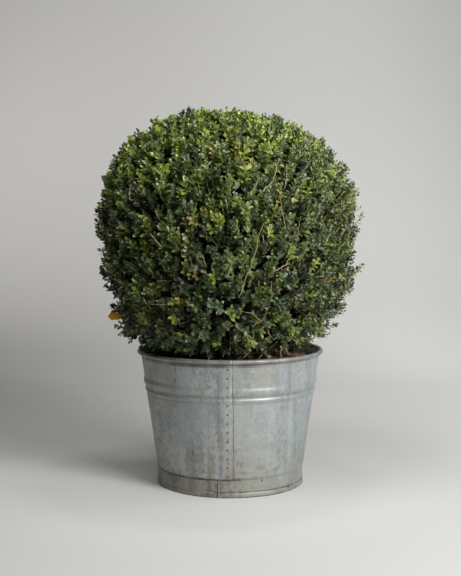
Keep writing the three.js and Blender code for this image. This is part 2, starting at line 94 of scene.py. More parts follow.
class Graph:
    """One material's node tree, with short calls for the nodes that the finishes share."""

    def __init__(self, name: str) -> None:
        """Starts a material of this name with its shader and the piece's own coordinates."""
        self.material = bpy.data.materials.new(name)
        self.material.use_nodes = True
        self.tree = self.material.node_tree
        self.shader = self.tree.nodes["Principled BSDF"]
        self.place = self.add("ShaderNodeTexCoord").outputs["Object"]

    def add(self, kind: str, **settings: object) -> bpy.types.Node:
        """Adds a node and sets its options.

        Args:
            kind: The node's type by its identifier.
            settings: The node's own options by name.

        Returns:
            The new node.
        """
        node = self.tree.nodes.new(kind)
        for name, value in settings.items():
            setattr(node, name, value)
        return node

    def feed(self, value: object, socket: bpy.types.NodeSocket) -> None:
        """Links an output to a socket, or sets the socket to a plain number or colour."""
        if isinstance(value, bpy.types.NodeSocket):
            self.tree.links.new(value, socket)
        else:
            socket.default_value = (*value, 1) if isinstance(value, tuple) else value

    def set(self, **sockets: float) -> None:
        """Sets the shader's own numbers, named with underscores for spaces."""
        for name, value in sockets.items():
            self.shader.inputs[name.replace("_", " ")].default_value = value

    def noise(self, pattern: Pattern) -> bpy.types.NodeSocket:
        """A pattern's noise over the piece, about 0.5 on average."""
        turn = self.add("ShaderNodeMapping")
        turn.inputs["Scale"].default_value = pattern.stretch
        self.feed(self.place, turn.inputs["Vector"])
        cloud = self.add("ShaderNodeTexNoise")
        cloud.inputs["Scale"].default_value = pattern.scale
        cloud.inputs["Detail"].default_value = pattern.detail
        self.feed(turn.outputs["Vector"], cloud.inputs["Vector"])
        return cloud.outputs["Fac"]

    def span(
        self, value: object, low: float, high: float, start: float = 0, end: float = 1
    ) -> bpy.types.NodeSocket:
        """Turns low..high into start..end, smoothly and held at both ends."""
        node = self.add("ShaderNodeMapRange", interpolation_type="SMOOTHSTEP")
        for name, number in (("From Min", low), ("From Max", high), ("To Min", start), ("To Max", end)):
            node.inputs[name].default_value = number
        self.feed(value, node.inputs["Value"])
        return node.outputs["Result"]

    def patches(self, pattern: Pattern) -> bpy.types.NodeSocket:
        """How strongly a pattern shows at each spot."""
        return self.span(self.noise(pattern), *pattern.band)

    def maths(self, operation: str, first: object, *others: object) -> bpy.types.NodeSocket:
        """A run of one kind of sum, from left to right, by the operation's name."""
        for other in others:
            node = self.add("ShaderNodeMath", operation=operation)
            self.feed(first, node.inputs[0])
            self.feed(other, node.inputs[1])
            first = node.outputs[0]
        return first

    def product(self, *values: object) -> bpy.types.NodeSocket:
        """Numbers and outputs multiplied together."""
        return self.maths("MULTIPLY", *values)

    def total(self, *values: object) -> bpy.types.NodeSocket:
        """Numbers and outputs added up."""
        return self.maths("ADD", *values)

    def mix(self, share: object, first: object, second: object) -> bpy.types.NodeSocket:
        """Mixes two colours.

        Args:
            share: How much of the second colour, as a number or an output.
            first: The colour underneath, as three numbers or an output.
            second: The colour on top, likewise.

        Returns:
            The mixed colour.
        """
        node = self.add("ShaderNodeMix", data_type="RGBA")
        self.feed(share, node.inputs[0])
        self.feed(first, node.inputs[6])
        self.feed(second, node.inputs[7])
        return node.outputs[2]

    def axes(self) -> tuple[bpy.types.NodeSocket, ...]:
        """The piece's x, y and z at each spot."""
        node = self.add("ShaderNodeSeparateXYZ")
        self.feed(self.place, node.inputs[0])
        return tuple(node.outputs)

    def between(self, value: object, low: float, high: float, soft: float) -> bpy.types.NodeSocket:
        """1 where a value lies from low to high, and 0 a soft width outside them, all in millimetres."""
        low, high, soft = low * MM, high * MM, soft * MM
        return self.product(self.span(value, low - soft, low), self.span(value, high + soft, high))

    def near(self, place: Place, reach: float, stretch: tuple[float, float, float]) -> bpy.types.NodeSocket:
        """1 at a place on the piece, falling to 0 at a distance.

        Args:
            place: The middle of the spot, in millimetres.
            reach: Where it ends, in millimetres.
            stretch: Scale along each axis, under 1 to draw the spot out.

        Returns:
            The spot's strength.
        """
        offset = self.add("ShaderNodeVectorMath", operation="SUBTRACT")
        self.feed(self.place, offset.inputs[0])
        offset.inputs[1].default_value = tuple(side * MM for side in place)
        scaled = self.add("ShaderNodeVectorMath", operation="MULTIPLY")
        self.feed(offset.outputs["Vector"], scaled.inputs[0])
        scaled.inputs[1].default_value = stretch
        length = self.add("ShaderNodeVectorMath", operation="LENGTH")
        self.feed(scaled.outputs["Vector"], length.inputs[0])
        reach = reach * MM
        return self.span(length.outputs["Value"], reach, 0.15 * reach)

    def relief(self, height: bpy.types.NodeSocket, depth: float, strength: float = 1) -> None:
        """Adds fine relief to the shader's normal, as deep as the given distance."""
        bump = self.add("ShaderNodeBump")
        bump.inputs["Strength"].default_value = strength
        bump.inputs["Distance"].default_value = depth
        self.feed(height, bump.inputs["Height"])
        self.feed(bump.outputs["Normal"], self.shader.inputs["Normal"])

    def finish(self, colour: object, roughness: object) -> bpy.types.Material:
        """Feeds the colour and the roughness, and returns the material."""
        self.feed(colour, self.shader.inputs["Base Color"])
        self.feed(roughness, self.shader.inputs["Roughness"])
        return self.material


@dataclass(frozen=True)
class Mark:
    """A small stain, pit or scuff: its middle, reach, colour and strength, and how it is drawn out."""

    place: Place
    reach: float
    colour: Colour
    share: float
    stretch: tuple[float, float, float] = (1, 1, 1)


@dataclass(frozen=True)
class Stripe:
    """An upright stripe on the front: its sides, ends, colour and strength, and how softly it fades."""

    left: float
    right: float
    low: float
    high: float
    colour: Colour
    share: float
    soft: float = 0.8
    soft_ends: float = 30


@dataclass(frozen=True)
class Line:
    """A level line of darker colour, painted shade under a ridge, the roll or an edge, with dirt in some: its
    two heights, colour, strength and softness, and where across it fades out.
    """

    low: float
    high: float
    colour: Colour
    share: float
    soft: float
    fade: tuple[float, float] = (1000, 1100)


@dataclass(frozen=True)
class ZincFinish:
    """Old galvanised sheet: mottled and bluish, streaked from above, warm and dirty toward the ground."""

    name: str
    light: Colour = (0.473, 0.498, 0.485)
    dark: Colour = (0.284, 0.304, 0.298)
    blue: Colour = (0.320, 0.373, 0.404)
    warm: Colour = (0.328, 0.318, 0.257)
    fleck: Colour = (0.166, 0.171, 0.155)
    metallic: float = 0.35
    roughness: float = 0.46
    duller: float = 0.08
    shinier: float = 0.06
    streaks: Pattern = Pattern(46, (1, 1, 0.2))
    spangle: Pattern = Pattern(150, (1, 1, 0.7))
    blotches: Pattern = Pattern(24, (1, 1, 0.6), 5)
    blue_patches: Pattern = Pattern(8, (1, 1, 0.5), 3, (0.40, 0.66, 0, 0.6))
    warm_patches: Pattern = Pattern(13, (1, 1, 0.45), 5, (0.42, 0.60))
    warm_low: float = 0.15
    warm_high: float = 0.45
    warm_share: float = 0.75
    flecks: Pattern = Pattern(110, (1, 1, 0.5), 6, (0.54, 0.68))
    fleck_share: float = 0.55
    stripe_breaks: Pattern = Pattern(60, (0.2, 0.2, 1), 3, (0.3, 0.6, 0.35, 1))
    line_breaks: Pattern = Pattern(26, band=(0.34, 0.6, 0.3, 1))
    stripes: tuple[Stripe, ...] = ()
    lines: tuple[Line, ...] = ()
    marks: tuple[Mark, ...] = ()

    def material(self) -> bpy.types.Material:
        """The finish as a material.

        Returns:
            The material, patterned on the piece's own coordinates.
        """
        graph = Graph(self.name)
        x, y, z = graph.axes()
        streaks, spangle, blotches = (graph.noise(one) for one in (self.streaks, self.spangle, self.blotches))
        shares = ((streaks, 0.3), (spangle, 0.4), (blotches, 0.3))
        tone = graph.total(*(graph.product(grain, share) for grain, share in shares))
        colour = graph.mix(graph.span(tone, 0.41, 0.59), self.dark, self.light)
        colour = graph.mix(graph.patches(self.blue_patches), colour, self.blue)
        low = graph.span(z, self.warm_low, 0.4 * self.warm_low, self.warm_high, 1)
        warmth = graph.product(low, graph.patches(self.warm_patches), self.warm_share)
        colour = graph.mix(warmth, colour, self.warm)
        lower = graph.span(z, 0.30, 0.10, 0.35, 1)
        flecks = graph.product(graph.patches(self.flecks), lower, self.fleck_share)
        colour = graph.mix(flecks, colour, self.fleck)
        front = graph.span(y, 0.01, 0.0)
        broken = graph.patches(self.stripe_breaks)
        for stripe in self.stripes:
            across = graph.between(x, stripe.left, stripe.right, stripe.soft)
            along = graph.between(z, stripe.low, stripe.high, stripe.soft_ends)
            share = graph.product(across, along, front, broken, stripe.share)
            colour = graph.mix(share, colour, stripe.colour)
        broken = graph.patches(self.line_breaks)
        for line in self.lines:
            level = graph.between(z, line.low, line.high, line.soft)
            kept = graph.span(x, line.fade[1] * MM, line.fade[0] * MM)
            colour = graph.mix(graph.product(level, broken, kept, line.share), colour, line.colour)
        for mark in self.marks:
            spot = graph.near(mark.place, mark.reach, mark.stretch)
            colour = graph.mix(graph.product(spot, mark.share), colour, mark.colour)
        graph.set(Metallic=self.metallic)
        graph.relief(graph.total(streaks, graph.product(spangle, 0.7)), 0.5 * MM, 0.6)
        rough = graph.span(tone, 0.36, 0.64, self.roughness + self.duller, self.roughness - self.shinier)
        return graph.finish(colour, rough)


@dataclass(frozen=True)
class GrainFinish:
    """A matt surface of two colours in fine grain, such as bark, compost or a rivet's dull head."""

    name: str
    light: Colour
    dark: Colour
    scale: float
    stretch: tuple[float, float, float] = (1, 1, 1)
    depth: float = 0.6 * MM
    roughness: float = 0.85

    def material(self) -> bpy.types.Material:
        """The finish as a material on the piece's own coordinates."""
        graph = Graph(self.name)
        pattern = Pattern(self.scale, self.stretch, detail=6)
        grain = graph.noise(pattern)
        graph.relief(grain, self.depth)
        colour = graph.mix(graph.span(grain, *pattern.band), self.dark, self.light)
        return graph.finish(colour, self.roughness)


@dataclass(frozen=True)
class PlainFinish:
    """One plain matt colour, for thin wood, chips of bark and the sweep."""

    name: str
    colour: Colour
    roughness: float = 0.8

    def material(self) -> bpy.types.Material:
        """The finish as a material with a plain base colour."""
        return Graph(self.name).finish(self.colour, self.roughness)


@dataclass(frozen=True)
class LeafFinish:
    """A waxy leaf of one plain colour."""

    name: str
    colour: Colour
    roughness: float = 0.385
    shine: float = 0.75

    def material(self) -> bpy.types.Material:
        """The finish as a material with a plain base colour."""
        graph = Graph(self.name)
        graph.set(Specular_IOR_Level=self.shine)
        return graph.finish(self.colour, self.roughness)


class Tone(Enum):
    """A choice among finishes, in the order of a piece's list of materials."""

    @property
    def slot(self) -> int:
        """The tone's place in the list."""
        return list(type(self)).index(self)


class LeafTone(Tone):
    """The colours of the leaves, dealt out by spray."""

    # painted shade: the near-black tone of the leaves deep inside the crown, and of some sprays, more of them
    # low down
    SHADE = LeafFinish("leaf_shade", (0.021, 0.029, 0.011))
    DARK = LeafFinish("leaf_dark", (0.048, 0.071, 0.025))
    MID = LeafFinish("leaf_mid", (0.112, 0.163, 0.048))
    BLUE = LeafFinish("leaf_blue", (0.120, 0.182, 0.090))
    LEAF = LeafFinish("leaf_green", (0.188, 0.262, 0.062))
    FRESH = LeafFinish("leaf_fresh", (0.305, 0.390, 0.058))
    PALE = LeafFinish("leaf_pale", (0.42, 0.48, 0.20))
    YELLOW = LeafFinish("leaf_yellow", (0.42, 0.36, 0.085))
    ORANGE = LeafFinish("leaf_orange", (0.33, 0.22, 0.08))
    WITHERED = LeafFinish("leaf_withered", (0.23, 0.115, 0.008), 0.7, 0.2)


class WoodTone(Tone):
    """The colours of the thin wood."""

    INNER = PlainFinish("twig_inner", (0.075, 0.058, 0.040))
    TAN = PlainFinish("twig_tan", (0.40, 0.31, 0.17), 0.65)
    GREEN = PlainFinish("twig_green", (0.36, 0.315, 0.13), 0.6)


# ---------------------------------------------------------------- shared ways of making


def placed(name: str, data: bpy.types.ID) -> bpy.types.Object:
    """A new object in the scene."""
    made = bpy.data.objects.new(name, data)
    bpy.context.scene.collection.objects.link(made)
    return made


def show(
    name: str, mesh: bpy.types.Mesh, finishes: Iterable[bpy.types.Material], slot: str, *nodes: str
) -> None:
    """Shows a mesh as a piece of the plant, in place of the nodes that it stands for.

    Args:
        name: The piece's name.
        mesh: Its mesh, in place.
        finishes: Its materials, in the order of their slots.
        slot: Not used.
        nodes: The nodes that it replaces.
    """
    piece = placed(name, mesh)
    for finish in finishes:
        mesh.materials.append(finish)
    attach(piece, BODY)
    if nodes:
        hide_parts(*nodes)
    log.info("%s: %d triangles", name, len(mesh.loops) - 2 * len(mesh.polygons))


def taken(name: str, work: bmesh.types.BMesh) -> bpy.types.Mesh:
    """Turns a bmesh into a smooth mesh with its faces outward, and frees it."""
    bmesh.ops.recalc_face_normals(work, faces=work.faces)
    for face in work.faces:
        face.smooth = True
    mesh = bpy.data.meshes.new(name)
    work.to_mesh(mesh)
    work.free()
    return mesh


def turned(outline: Profile, columns: int, closed: bool = True) -> bmesh.types.BMesh:
    """Spins an outline round +Z.

    Args:
        outline: Points of radius and height.
        columns: Steps in the full turn.
        closed: True if the outline's last point joins its first.

    Returns:
        The turned shape, merged at its seam and at the axis.
    """
    work = bmesh.new()
    corners = [work.verts.new((radius, 0, height)) for radius, height in outline]
    pairs = list(zip(corners, corners[1:]))
    if closed:
        pairs.append((corners[-1], corners[0]))
    edges = [work.edges.new(pair) for pair in pairs]
    geom = corners + edges
    bmesh.ops.spin(
        work, geom=geom, cent=(0, 0, 0), axis=(0, 0, 1), angle=math.tau, steps=columns, use_merge=True
    )
    bmesh.ops.remove_doubles(work, verts=work.verts, dist=MERGE)
    return work


def cut_upright(work: bmesh.types.BMesh, across: float, side: int) -> None:
    """Adds a line of edges where the plane x = across passes the front (-1) or back (1) half."""
    half = [face for face in work.faces if face.calc_center_median().y * side > 0]
    edges = {edge for face in half for edge in face.edges}
    corners = {corner for face in half for corner in face.verts}
    geom = [*half, *edges, *corners]
    bmesh.ops.bisect_plane(work, geom=geom, dist=MERGE, plane_co=(across, 0, 0), plane_no=(1, 0, 0))


def smooth_step(value: float, start: float, end: float) -> float:
    """0 at the start, 1 at the end, with an even ease between them."""
    share = min(1.0, max(0.0, (value - start) / (end - start)))
    return share * share * (3 - 2 * share)


def mesh_of(name: str, points: np.ndarray, triangles: np.ndarray, slots: np.ndarray) -> bpy.types.Mesh:
    """Makes one mesh of many small shapes.

    Args:
        name: The mesh's name.
        points: Corners, one row each.
        triangles: Three corners a row.
        slots: The material slot of each triangle.

    Returns:
        The mesh, smooth shaded.
    """
    mesh = bpy.data.meshes.new(name)
    mesh.vertices.add(len(points))
    mesh.vertices.foreach_set("co", points.astype(np.float32).ravel())
    mesh.loops.add(triangles.size)
    mesh.loops.foreach_set("vertex_index", triangles.astype(np.int32).ravel())
    mesh.polygons.add(len(triangles))
    mesh.polygons.foreach_set("loop_start", np.arange(0, triangles.size, 3, dtype=np.int32))
    mesh.polygons.foreach_set("material_index", slots.astype(np.int32))
    mesh.polygons.foreach_set("use_smooth", np.ones(len(triangles), dtype=bool))
    mesh.update(calc_edges=True)
    mesh.validate()
    return mesh


def unit_rows(rows: np.ndarray) -> np.ndarray:
    """Each row at length one."""
    return rows / np.maximum(np.linalg.norm(rows, axis=-1, keepdims=True), 1e-12)


def square_to(rows: np.ndarray, hint: np.ndarray) -> np.ndarray:
    """Unit vectors square to each row, as near to the hint as they can be."""
    return unit_rows(hint - rows * np.sum(rows * hint, axis=-1, keepdims=True))


def nearest(points: np.ndarray, others: np.ndarray) -> np.ndarray:
    """For each point, the row of the nearest of the others."""
    return np.argmin(np.linalg.norm(points[:, None] - others[None], axis=2), axis=1)


def kept_rows(arrays: Rows, keep: np.ndarray) -> Rows:
    """The arrays with only the rows that stay."""
    return {name: rows[keep] for name, rows in arrays.items()}


def resampled(points: np.ndarray, count: int) -> np.ndarray:
    """Points at even steps along a run of straight lines."""
    steps = np.linspace(0, len(points) - 1, count)
    return np.stack([np.interp(steps, np.arange(len(points)), axis) for axis in points.T], axis=1)


def ball_direction(azimuth: float, elevation: float) -> Vector:
    """The unit vector at an azimuth from +X and an elevation."""
    flat = math.cos(math.radians(elevation))
    turn = math.radians(azimuth)
    return Vector((flat * math.cos(turn), flat * math.sin(turn), math.sin(math.radians(elevation))))


def angle_from(units: np.ndarray, azimuth: float, elevation: float) -> np.ndarray:
    """The angle between each unit row and the direction at an azimuth and an elevation."""
    toward = np.clip(units @ np.array(ball_direction(azimuth, elevation)), -1, 1)
    return np.degrees(np.arccos(toward))


def swollen(distances: np.ndarray, units: np.ndarray, swells: Iterable[Swell]) -> np.ndarray:
    """Adds round swells to distances from a middle.

    Args:
        distances: The distance in each direction.
        units: The directions, one row each.
        swells: Each one's azimuth, elevation, height and spread.

    Returns:
        The distances with the swells.
    """
    for azimuth, elevation, height, spread in swells:
        away = angle_from(units, azimuth, elevation) / spread
        distances = distances + height * MM * np.exp(-(away**2))
    return distances


# ---------------------------------------------------------------- the tub


@dataclass(frozen=True)
class Dent:
    """A knock in the sheet: its place seen from the front, its reach, its depth and how flat it is."""

    x: float
    z: float
    reach: float
    depth: float
    flat: float = 1.0

    def depth_at(self, x: float, z: float) -> float:
        """How deep it is at a place on the front."""
        reach = self.reach * MM
        away = math.hypot((x - self.x * MM) / reach, (z - self.z * MM) / (reach * self.flat))
        return self.depth * MM * math.exp(-2 * away * away)


@dataclass
class Tub:
    """The tapered tub: wall with two pressed ridges, rolled rim, foot ring, seams and rivets."""

    columns: int = 240
    sheet: float = 1.5 * MM
    gap: float = 0.3 * MM
    bottom_radius: float = 182.9 * MM
    wall_rows: int = 44
    wall_tuck: float = 2 * MM
    edge_round: float = 0.4 * MM
    ridges: tuple[tuple[float, float, float], ...] = (
        (235.5 * MM, 6.5 * MM, 2.3 * MM),
        (256 * MM, 13 * MM, 3.2 * MM),
    )
    ridge_rows: int = 9
    roll_radius: float = 5.2 * MM
    roll_sides: int = 18
    roll_lap_depth: float = 0.5 * MM
    hem_height: float = 11.4 * MM
    hem_depth: float = 1.6 * MM
    hem_curl: tuple[float, float] = (0.3, 0.62)
    hem_rows: int = 9
    groove: tuple[tuple[float, float], ...] = ((0.5 * MM, 0.5 * MM), (0.3 * MM, 2 * MM))
    foot_rows: int = 12
    lap_edge: float = 3.6 * MM
    lap_width: float = 27 * MM
    lap_depth: float = 1.4 * MM
    lap_step: float = 0.2 * MM
    lap_shoulder: float = 7 * MM
    foot_lap_edge: float = -30 * MM
    foot_lap_width: float = 18 * MM
    foot_lap_depth: float = 1.2 * MM
    rivet_radius: float = 2.9 * MM
    rivet_height: float = 1.6 * MM
    rivet_sink: float = 0.4 * MM
    seam_rivets: tuple[int, float, float, float] = (13, 311 * MM, 52 * MM, -6 * MM)
    foot_rivets: tuple[int, float, float, float] = (3, 35 * MM, 15 * MM, -21.5 * MM)
    wave: float = 0.5 * MM
    torn_hem: tuple[float, float] = (-96 * MM, -34 * MM)
    tear: tuple[float, float] = (1.6, 1.4)
    dents: tuple[Dent, ...] = (
        Dent(55, 306, 12, 1.1, 0.35),
        Dent(-42, 325, 11, 1.6),
        Dent(-24, 326, 9, 0.9),
        Dent(139, 9, 5, 3.0),
        Dent(-104, 120, 30, 1.1),
        Dent(92, 96, 36, 1.0),
        Dent(-150, 190, 30, 1.0),
    )
    zinc: ZincFinish = ZincFinish(
        "zinc_sheet",
        stripes=(
            Stripe(-15, 2, 40, 300, (0.475, 0.508, 0.475), 0.35, 3),
            Stripe(-25, -18, 60, 140, (0.184, 0.194, 0.200), 0.6, 2),
            Stripe(4.0, 5.6, 232, 340, (0.140, 0.119, 0.092), 0.95),
            Stripe(2.6, 3.8, 30, 232, (0.238, 0.216, 0.178), 0.7),
            Stripe(6.8, 8.4, 40, 232, (0.150, 0.118, 0.085), 0.9),
            Stripe(-12, 9, 20, 48, (0.259, 0.167, 0.092), 0.5, 4),
            Stripe(-129.5, -127.5, 292, 330, (0.184, 0.184, 0.173), 0.5),
            Stripe(136, 141, 238, 325, (0.216, 0.205, 0.146), 0.45, 4),
            Stripe(141, 147, 90, 228, (0.508, 0.551, 0.572), 0.4, 4),
            Stripe(153, 158, 90, 232, (0.238, 0.259, 0.270), 0.5, 3),
            Stripe(-100, -24, 70, 225, (0.22, 0.24, 0.235), 0.34, 18),
            Stripe(25, 100, 60, 225, (0.52, 0.55, 0.54), 0.34, 22),
            Stripe(-90, -68, 50, 115, (0.194, 0.178, 0.124), 0.45, 10),
            Stripe(-120, -55, 130, 225, (0.29, 0.36, 0.40), 0.40, 20),
            Stripe(-50, -38, 50, 130, (0.216, 0.189, 0.124), 0.5, 6),
            Stripe(60, 100, 255, 305, (0.400, 0.405, 0.335), 0.35, 14),
            Stripe(-205, -150, 262, 312, (0.46, 0.47, 0.43), 0.4, 14),
        ),
        lines=(
            # painted shade under the two pressed ridges, on their downward faces
            Line(242, 246, (0.20, 0.20, 0.185), 0.6, 3),
            Line(227, 229, (0.21, 0.215, 0.20), 0.5, 2.5),
            # painted shade under the rolled rim and on the roll's lower side, below its lit top
            Line(316, 323, (0.16, 0.135, 0.105), 0.9, 2.5, (20, 120)),
            Line(323, 332, (0.20, 0.18, 0.15), 0.7, 2.5),
            # painted shade and brown dirt along the wall's lower edge, fading toward the lit right
            Line(44, 46, (0.158, 0.144, 0.108), 0.6, 3, (-20, 100)),
        ),
        marks=(
            Mark((-128.6, -172, 279.5), 4, (0.050, 0.054, 0.050), 0.85, (1, 1, 0.6)),
            # painted highlight on the crescent dent in the upper band
            Mark((55, -214, 305.5), 6, (0.504, 0.511, 0.475), 0.7, (0.45, 0.45, 1.5)),
            Mark((118, -144, 53.3), 3, (0.072, 0.072, 0.061), 0.75),
            Mark((19, -188, 86.4), 3, (0.115, 0.119, 0.108), 0.7, (1, 1, 0.6)),
            Mark((61.5, -189, 158.5), 2.4, (0.115, 0.119, 0.108), 0.7),
            Mark((72, -178, 72), 13, (0.20, 0.165, 0.115), 0.45, (0.6, 0.6, 1)),
            Mark((112, -155, 63), 10, (0.19, 0.155, 0.105), 0.5, (0.6, 0.6, 1)),
            Mark((30, -186, 60), 9, (0.21, 0.17, 0.115), 0.45, (0.5, 0.5, 1)),
            Mark((-88, -170, 105), 4, (0.086, 0.090, 0.083), 0.7, (1, 1, 0.35)),
        ),
    )
    foot_zinc: ZincFinish = ZincFinish(
        "foot_zinc",
        warm_high=0.6,
        light=(0.372, 0.376, 0.335),
        dark=(0.175, 0.174, 0.150),
        warm_low=0.08,
        stripes=(
            Stripe(-31, -29.2, 0, 60, (0.036, 0.032, 0.025), 0.95),
            Stripe(-190, -32, 0, 60, (0.17, 0.155, 0.12), 0.45, 4),
            Stripe(40, 130, 16, 60, (0.42, 0.42, 0.37), 0.35, 20),
            Stripe(-29, -12, 0, 60, (0.216, 0.151, 0.094), 0.35, 3),
        ),
        lines=(
            # painted shade on the foot ring under the wall's overhanging edge, fading toward the lit right
            Line(41, 50, (0.05, 0.047, 0.036), 0.9, 2, (-50, 90)),
            # painted shade in the groove above the hem, fading out toward the torn part on the left
            Line(12, 14, (0.065, 0.061, 0.047), 0.8, 1.5, (-10, -60)),
            # painted contact shadow along the foot's bottom edge
            Line(-1, 1.5, (0.043, 0.04, 0.032), 0.8, 1),
        ),
        marks=(
            Mark((74.5, -165, 38.5), 3.6, (0.022, 0.020, 0.014), 0.95),
            # painted shade in the notch knocked into the hem
            Mark((139, -112, 9.5), 5.5, (0.009, 0.009, 0.007), 1.0, (1, 1, 0.8)),
        ),
    )
    rivet_finish: GrainFinish = GrainFinish("rivet_zinc", (0.21, 0.205, 0.19), (0.115, 0.11, 0.095), 400)

    def __post_init__(self) -> None:
        """Reads the heights and radii that the solids give."""
        low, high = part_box("pot_wall")
        self.wall_bottom, self.wall_top, self.top_radius = low.z, high.z, high.x
        low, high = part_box("pot_rim")
        self.roll_middle, self.rim_radius = low.z + self.roll_radius, high.x
        low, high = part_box("foot_band")
        self.foot_radius, self.foot_top = high.x - self.hem_depth, high.z

    def cone_radius(self, height: float) -> float:
        """Outer radius of the plain tapered wall."""
        slope = (self.top_radius - self.bottom_radius) / (self.wall_top - self.wall_bottom)
        return self.bottom_radius + slope * (height - self.wall_bottom)

    def wall_radius(self, height: float) -> float:
        """Outer radius of the wall with its pressed ridges."""
        radius = self.cone_radius(height)
        for middle, reach, depth in self.ridges:
            offset = (height - middle) / reach
            if abs(offset) < 1:
                radius += depth * math.cos(offset * math.pi / 2) ** 2
        return radius

    def foot_outer(self, height: float) -> float:
        """Outer radius of the foot ring, whose upper part stands behind the wall."""
        behind = self.cone_radius(max(height, self.wall_bottom)) - self.sheet - self.gap
        if height > self.wall_bottom:
            return behind
        return self.foot_radius + (behind - self.foot_radius) * height / self.wall_bottom

    def waviness(self, point: Vector) -> float:
        """How far the hand-made sheet stands in or out of its true round at a point."""
        swell = self.wave * noise.noise(point * 11) + 0.4 * self.wave * noise.noise(point * 31)
        knocks = sum(dent.depth_at(point.x, point.z) for dent in self.dents) if point.y < 0 else 0.0
        return swell - knocks

    def shape(self, work: bmesh.types.BMesh, lift: Callable[[Vector], float]) -> None:
        """Moves each corner out from the axis by the sheet's waviness and a lift of its own."""
        for corner in work.verts:
            out = Vector((corner.co.x, corner.co.y, 0)).normalized()
            corner.co += out * (self.waviness(corner.co) + lift(corner.co))

    def lap_lift(self, point: Vector) -> float:
        """How far the lapped sheet stands out at a point of the wall, front or back."""
        if math.hypot(point.x, point.y) < self.wall_radius(point.z) - self.sheet / 2:
            return 0.0
        across = point.x if point.y < 0 else -point.x
        if across > self.lap_edge - self.lap_step / 2:
            return 0.0
        hidden = self.lap_edge - self.lap_width
        return self.lap_depth * smooth_step(across, hidden - self.lap_shoulder, hidden)

    def wall(self) -> bpy.types.Mesh:
        """The wall with its ridges and the two seams where its sheets lap.

        Returns:
            The wall's mesh.
        """
        edge = self.wall_bottom
        rows = np.linspace(edge + 0.6 * MM, self.wall_top + self.wall_tuck, self.wall_rows)
        steps = np.linspace(-1, 1, self.ridge_rows)
        crests = [middle + reach * step for middle, reach, _ in self.ridges for step in steps]
        heights = sorted({round(float(height), 5) for height in [*rows, *crests]})
        outside = [(self.wall_radius(height), height) for height in heights]
        inside = [(self.wall_radius(height) - self.sheet, height) for height in heights[::-3]]
        outer = self.cone_radius(edge)
        foot = [(outer - self.sheet + self.edge_round, edge), (outer - self.edge_round, edge)]
        work = turned(outside + inside + foot, self.columns)
        hidden = self.lap_edge - self.lap_width
        for side in (-1, 1):
            for across in (self.lap_edge - self.lap_step, self.lap_edge, hidden, hidden - self.lap_shoulder):
                cut_upright(work, -side * across, side)
        self.shape(work, self.lap_lift)
        return taken("tub_wall", work)

    def rim(self) -> bpy.types.Mesh:
        """The wired roll at the top, with a small step where its ends lap."""
        middle = self.rim_radius - self.roll_radius
        turns = [math.tau * step / self.roll_sides for step in range(self.roll_sides)]
        outline = [
            (middle + self.roll_radius * math.cos(turn), self.roll_middle + self.roll_radius * math.sin(turn))
            for turn in turns
        ]
        work = turned(outline, self.columns)
        cut_upright(work, self.lap_edge, -1)
        cut_upright(work, self.lap_edge - self.lap_step, -1)

        def lift(point: Vector) -> float:
            """How far the roll's lapping end stands out at a point."""
            near = -self.lap_width < point.x < self.lap_edge - self.lap_step / 2 and point.y < 0
            outer = math.hypot(point.x, point.y) > middle
            return self.roll_lap_depth * smooth_step(point.x, -self.lap_width, 0) if near and outer else 0.0

        self.shape(work, lift)
        return taken("tub_rim", work)

    def hem_tear(self, point: Vector) -> float:
        """How far the hem stands off the foot where it has been bent open."""
        start, end = self.torn_hem
        if not (start < point.x < end and MM < point.z < self.hem_height + MM):
            return 0.0
        open_by = math.sin(math.pi * (point.x - start) / (end - start))
        lip = smooth_step(point.z, MM, 0.8 * self.hem_height)
        least, uneven = self.tear
        return open_by * lip * (least + uneven * noise.noise(Vector((point.x * 90, 0, 3)))) * MM

    def foot(self) -> bpy.types.Mesh:
        """The foot ring with its folded hem, torn open in one place, and its own lap."""
        hem, outer = self.hem_height, self.foot_outer
        start, whole = self.hem_curl
        bulge = [
            (outer(hem * share) + self.hem_depth * math.sin(math.pi * (start + whole * share)), hem * share)
            for share in np.linspace(0, 1, self.hem_rows)
        ]
        groove = [(outer(hem) - depth, hem + height) for depth, height in self.groove]
        rows = np.linspace(hem + 3.5 * MM, self.wall_bottom - 2 * MM, self.foot_rows)
        face = [(outer(height), float(height)) for height in [*rows, self.wall_bottom, self.foot_top]]
        inside = [(outer(height) - self.sheet, height) for height in (self.foot_top, self.wall_bottom, 0.0)]
        work = turned(bulge + groove + face + inside, self.columns)
        near = self.foot_lap_edge
        far = near + self.foot_lap_width
        for across in (near, near + self.lap_step, far, far + self.lap_shoulder):
            cut_upright(work, across, -1)

        def lift(point: Vector) -> float:
            """How far the lap and the torn hem stand out at a point."""
            front = point.y < 0 and point.z < self.wall_bottom - MM
            if not front or math.hypot(point.x, point.y) <= outer(point.z) - self.sheet / 2:
                return 0.0
            if point.x < near + self.lap_step / 2:
                return self.hem_tear(point)
            return self.foot_lap_depth * (1 - smooth_step(point.x, far, far + self.lap_shoulder))

        self.shape(work, lift)
        return taken("foot_ring", work)

    def rivet_places(self) -> list[tuple[Vector, Vector]]:
        """Where each rivet sits and which way its head points.

        Returns:
            Pairs of the spot on the sheet and the direction out of it.
        """
        places, around = [], 2 * MM
        rows = ((self.seam_rivets, (-1, 1), self.wall_radius), (self.foot_rivets, (-1,), self.foot_outer))
        for (count, highest, lowest, offset), sides, radius_at in rows:
            for side in sides:
                for index in range(count):
                    height = highest + (lowest - highest) * index / (count - 1)
                    slope = (radius_at(height + around) - radius_at(height - around)) / (2 * around)
                    radius = radius_at(height) + self.lap_depth
                    angle = math.asin(-side * offset / radius)
                    out = Vector((math.sin(angle), side * math.cos(angle), 0))
                    spot = out * radius + Vector((0, 0, height))
                    spot += out * self.waviness(spot)
                    places.append((spot, (out - Vector((0, 0, slope))).normalized()))
        return places

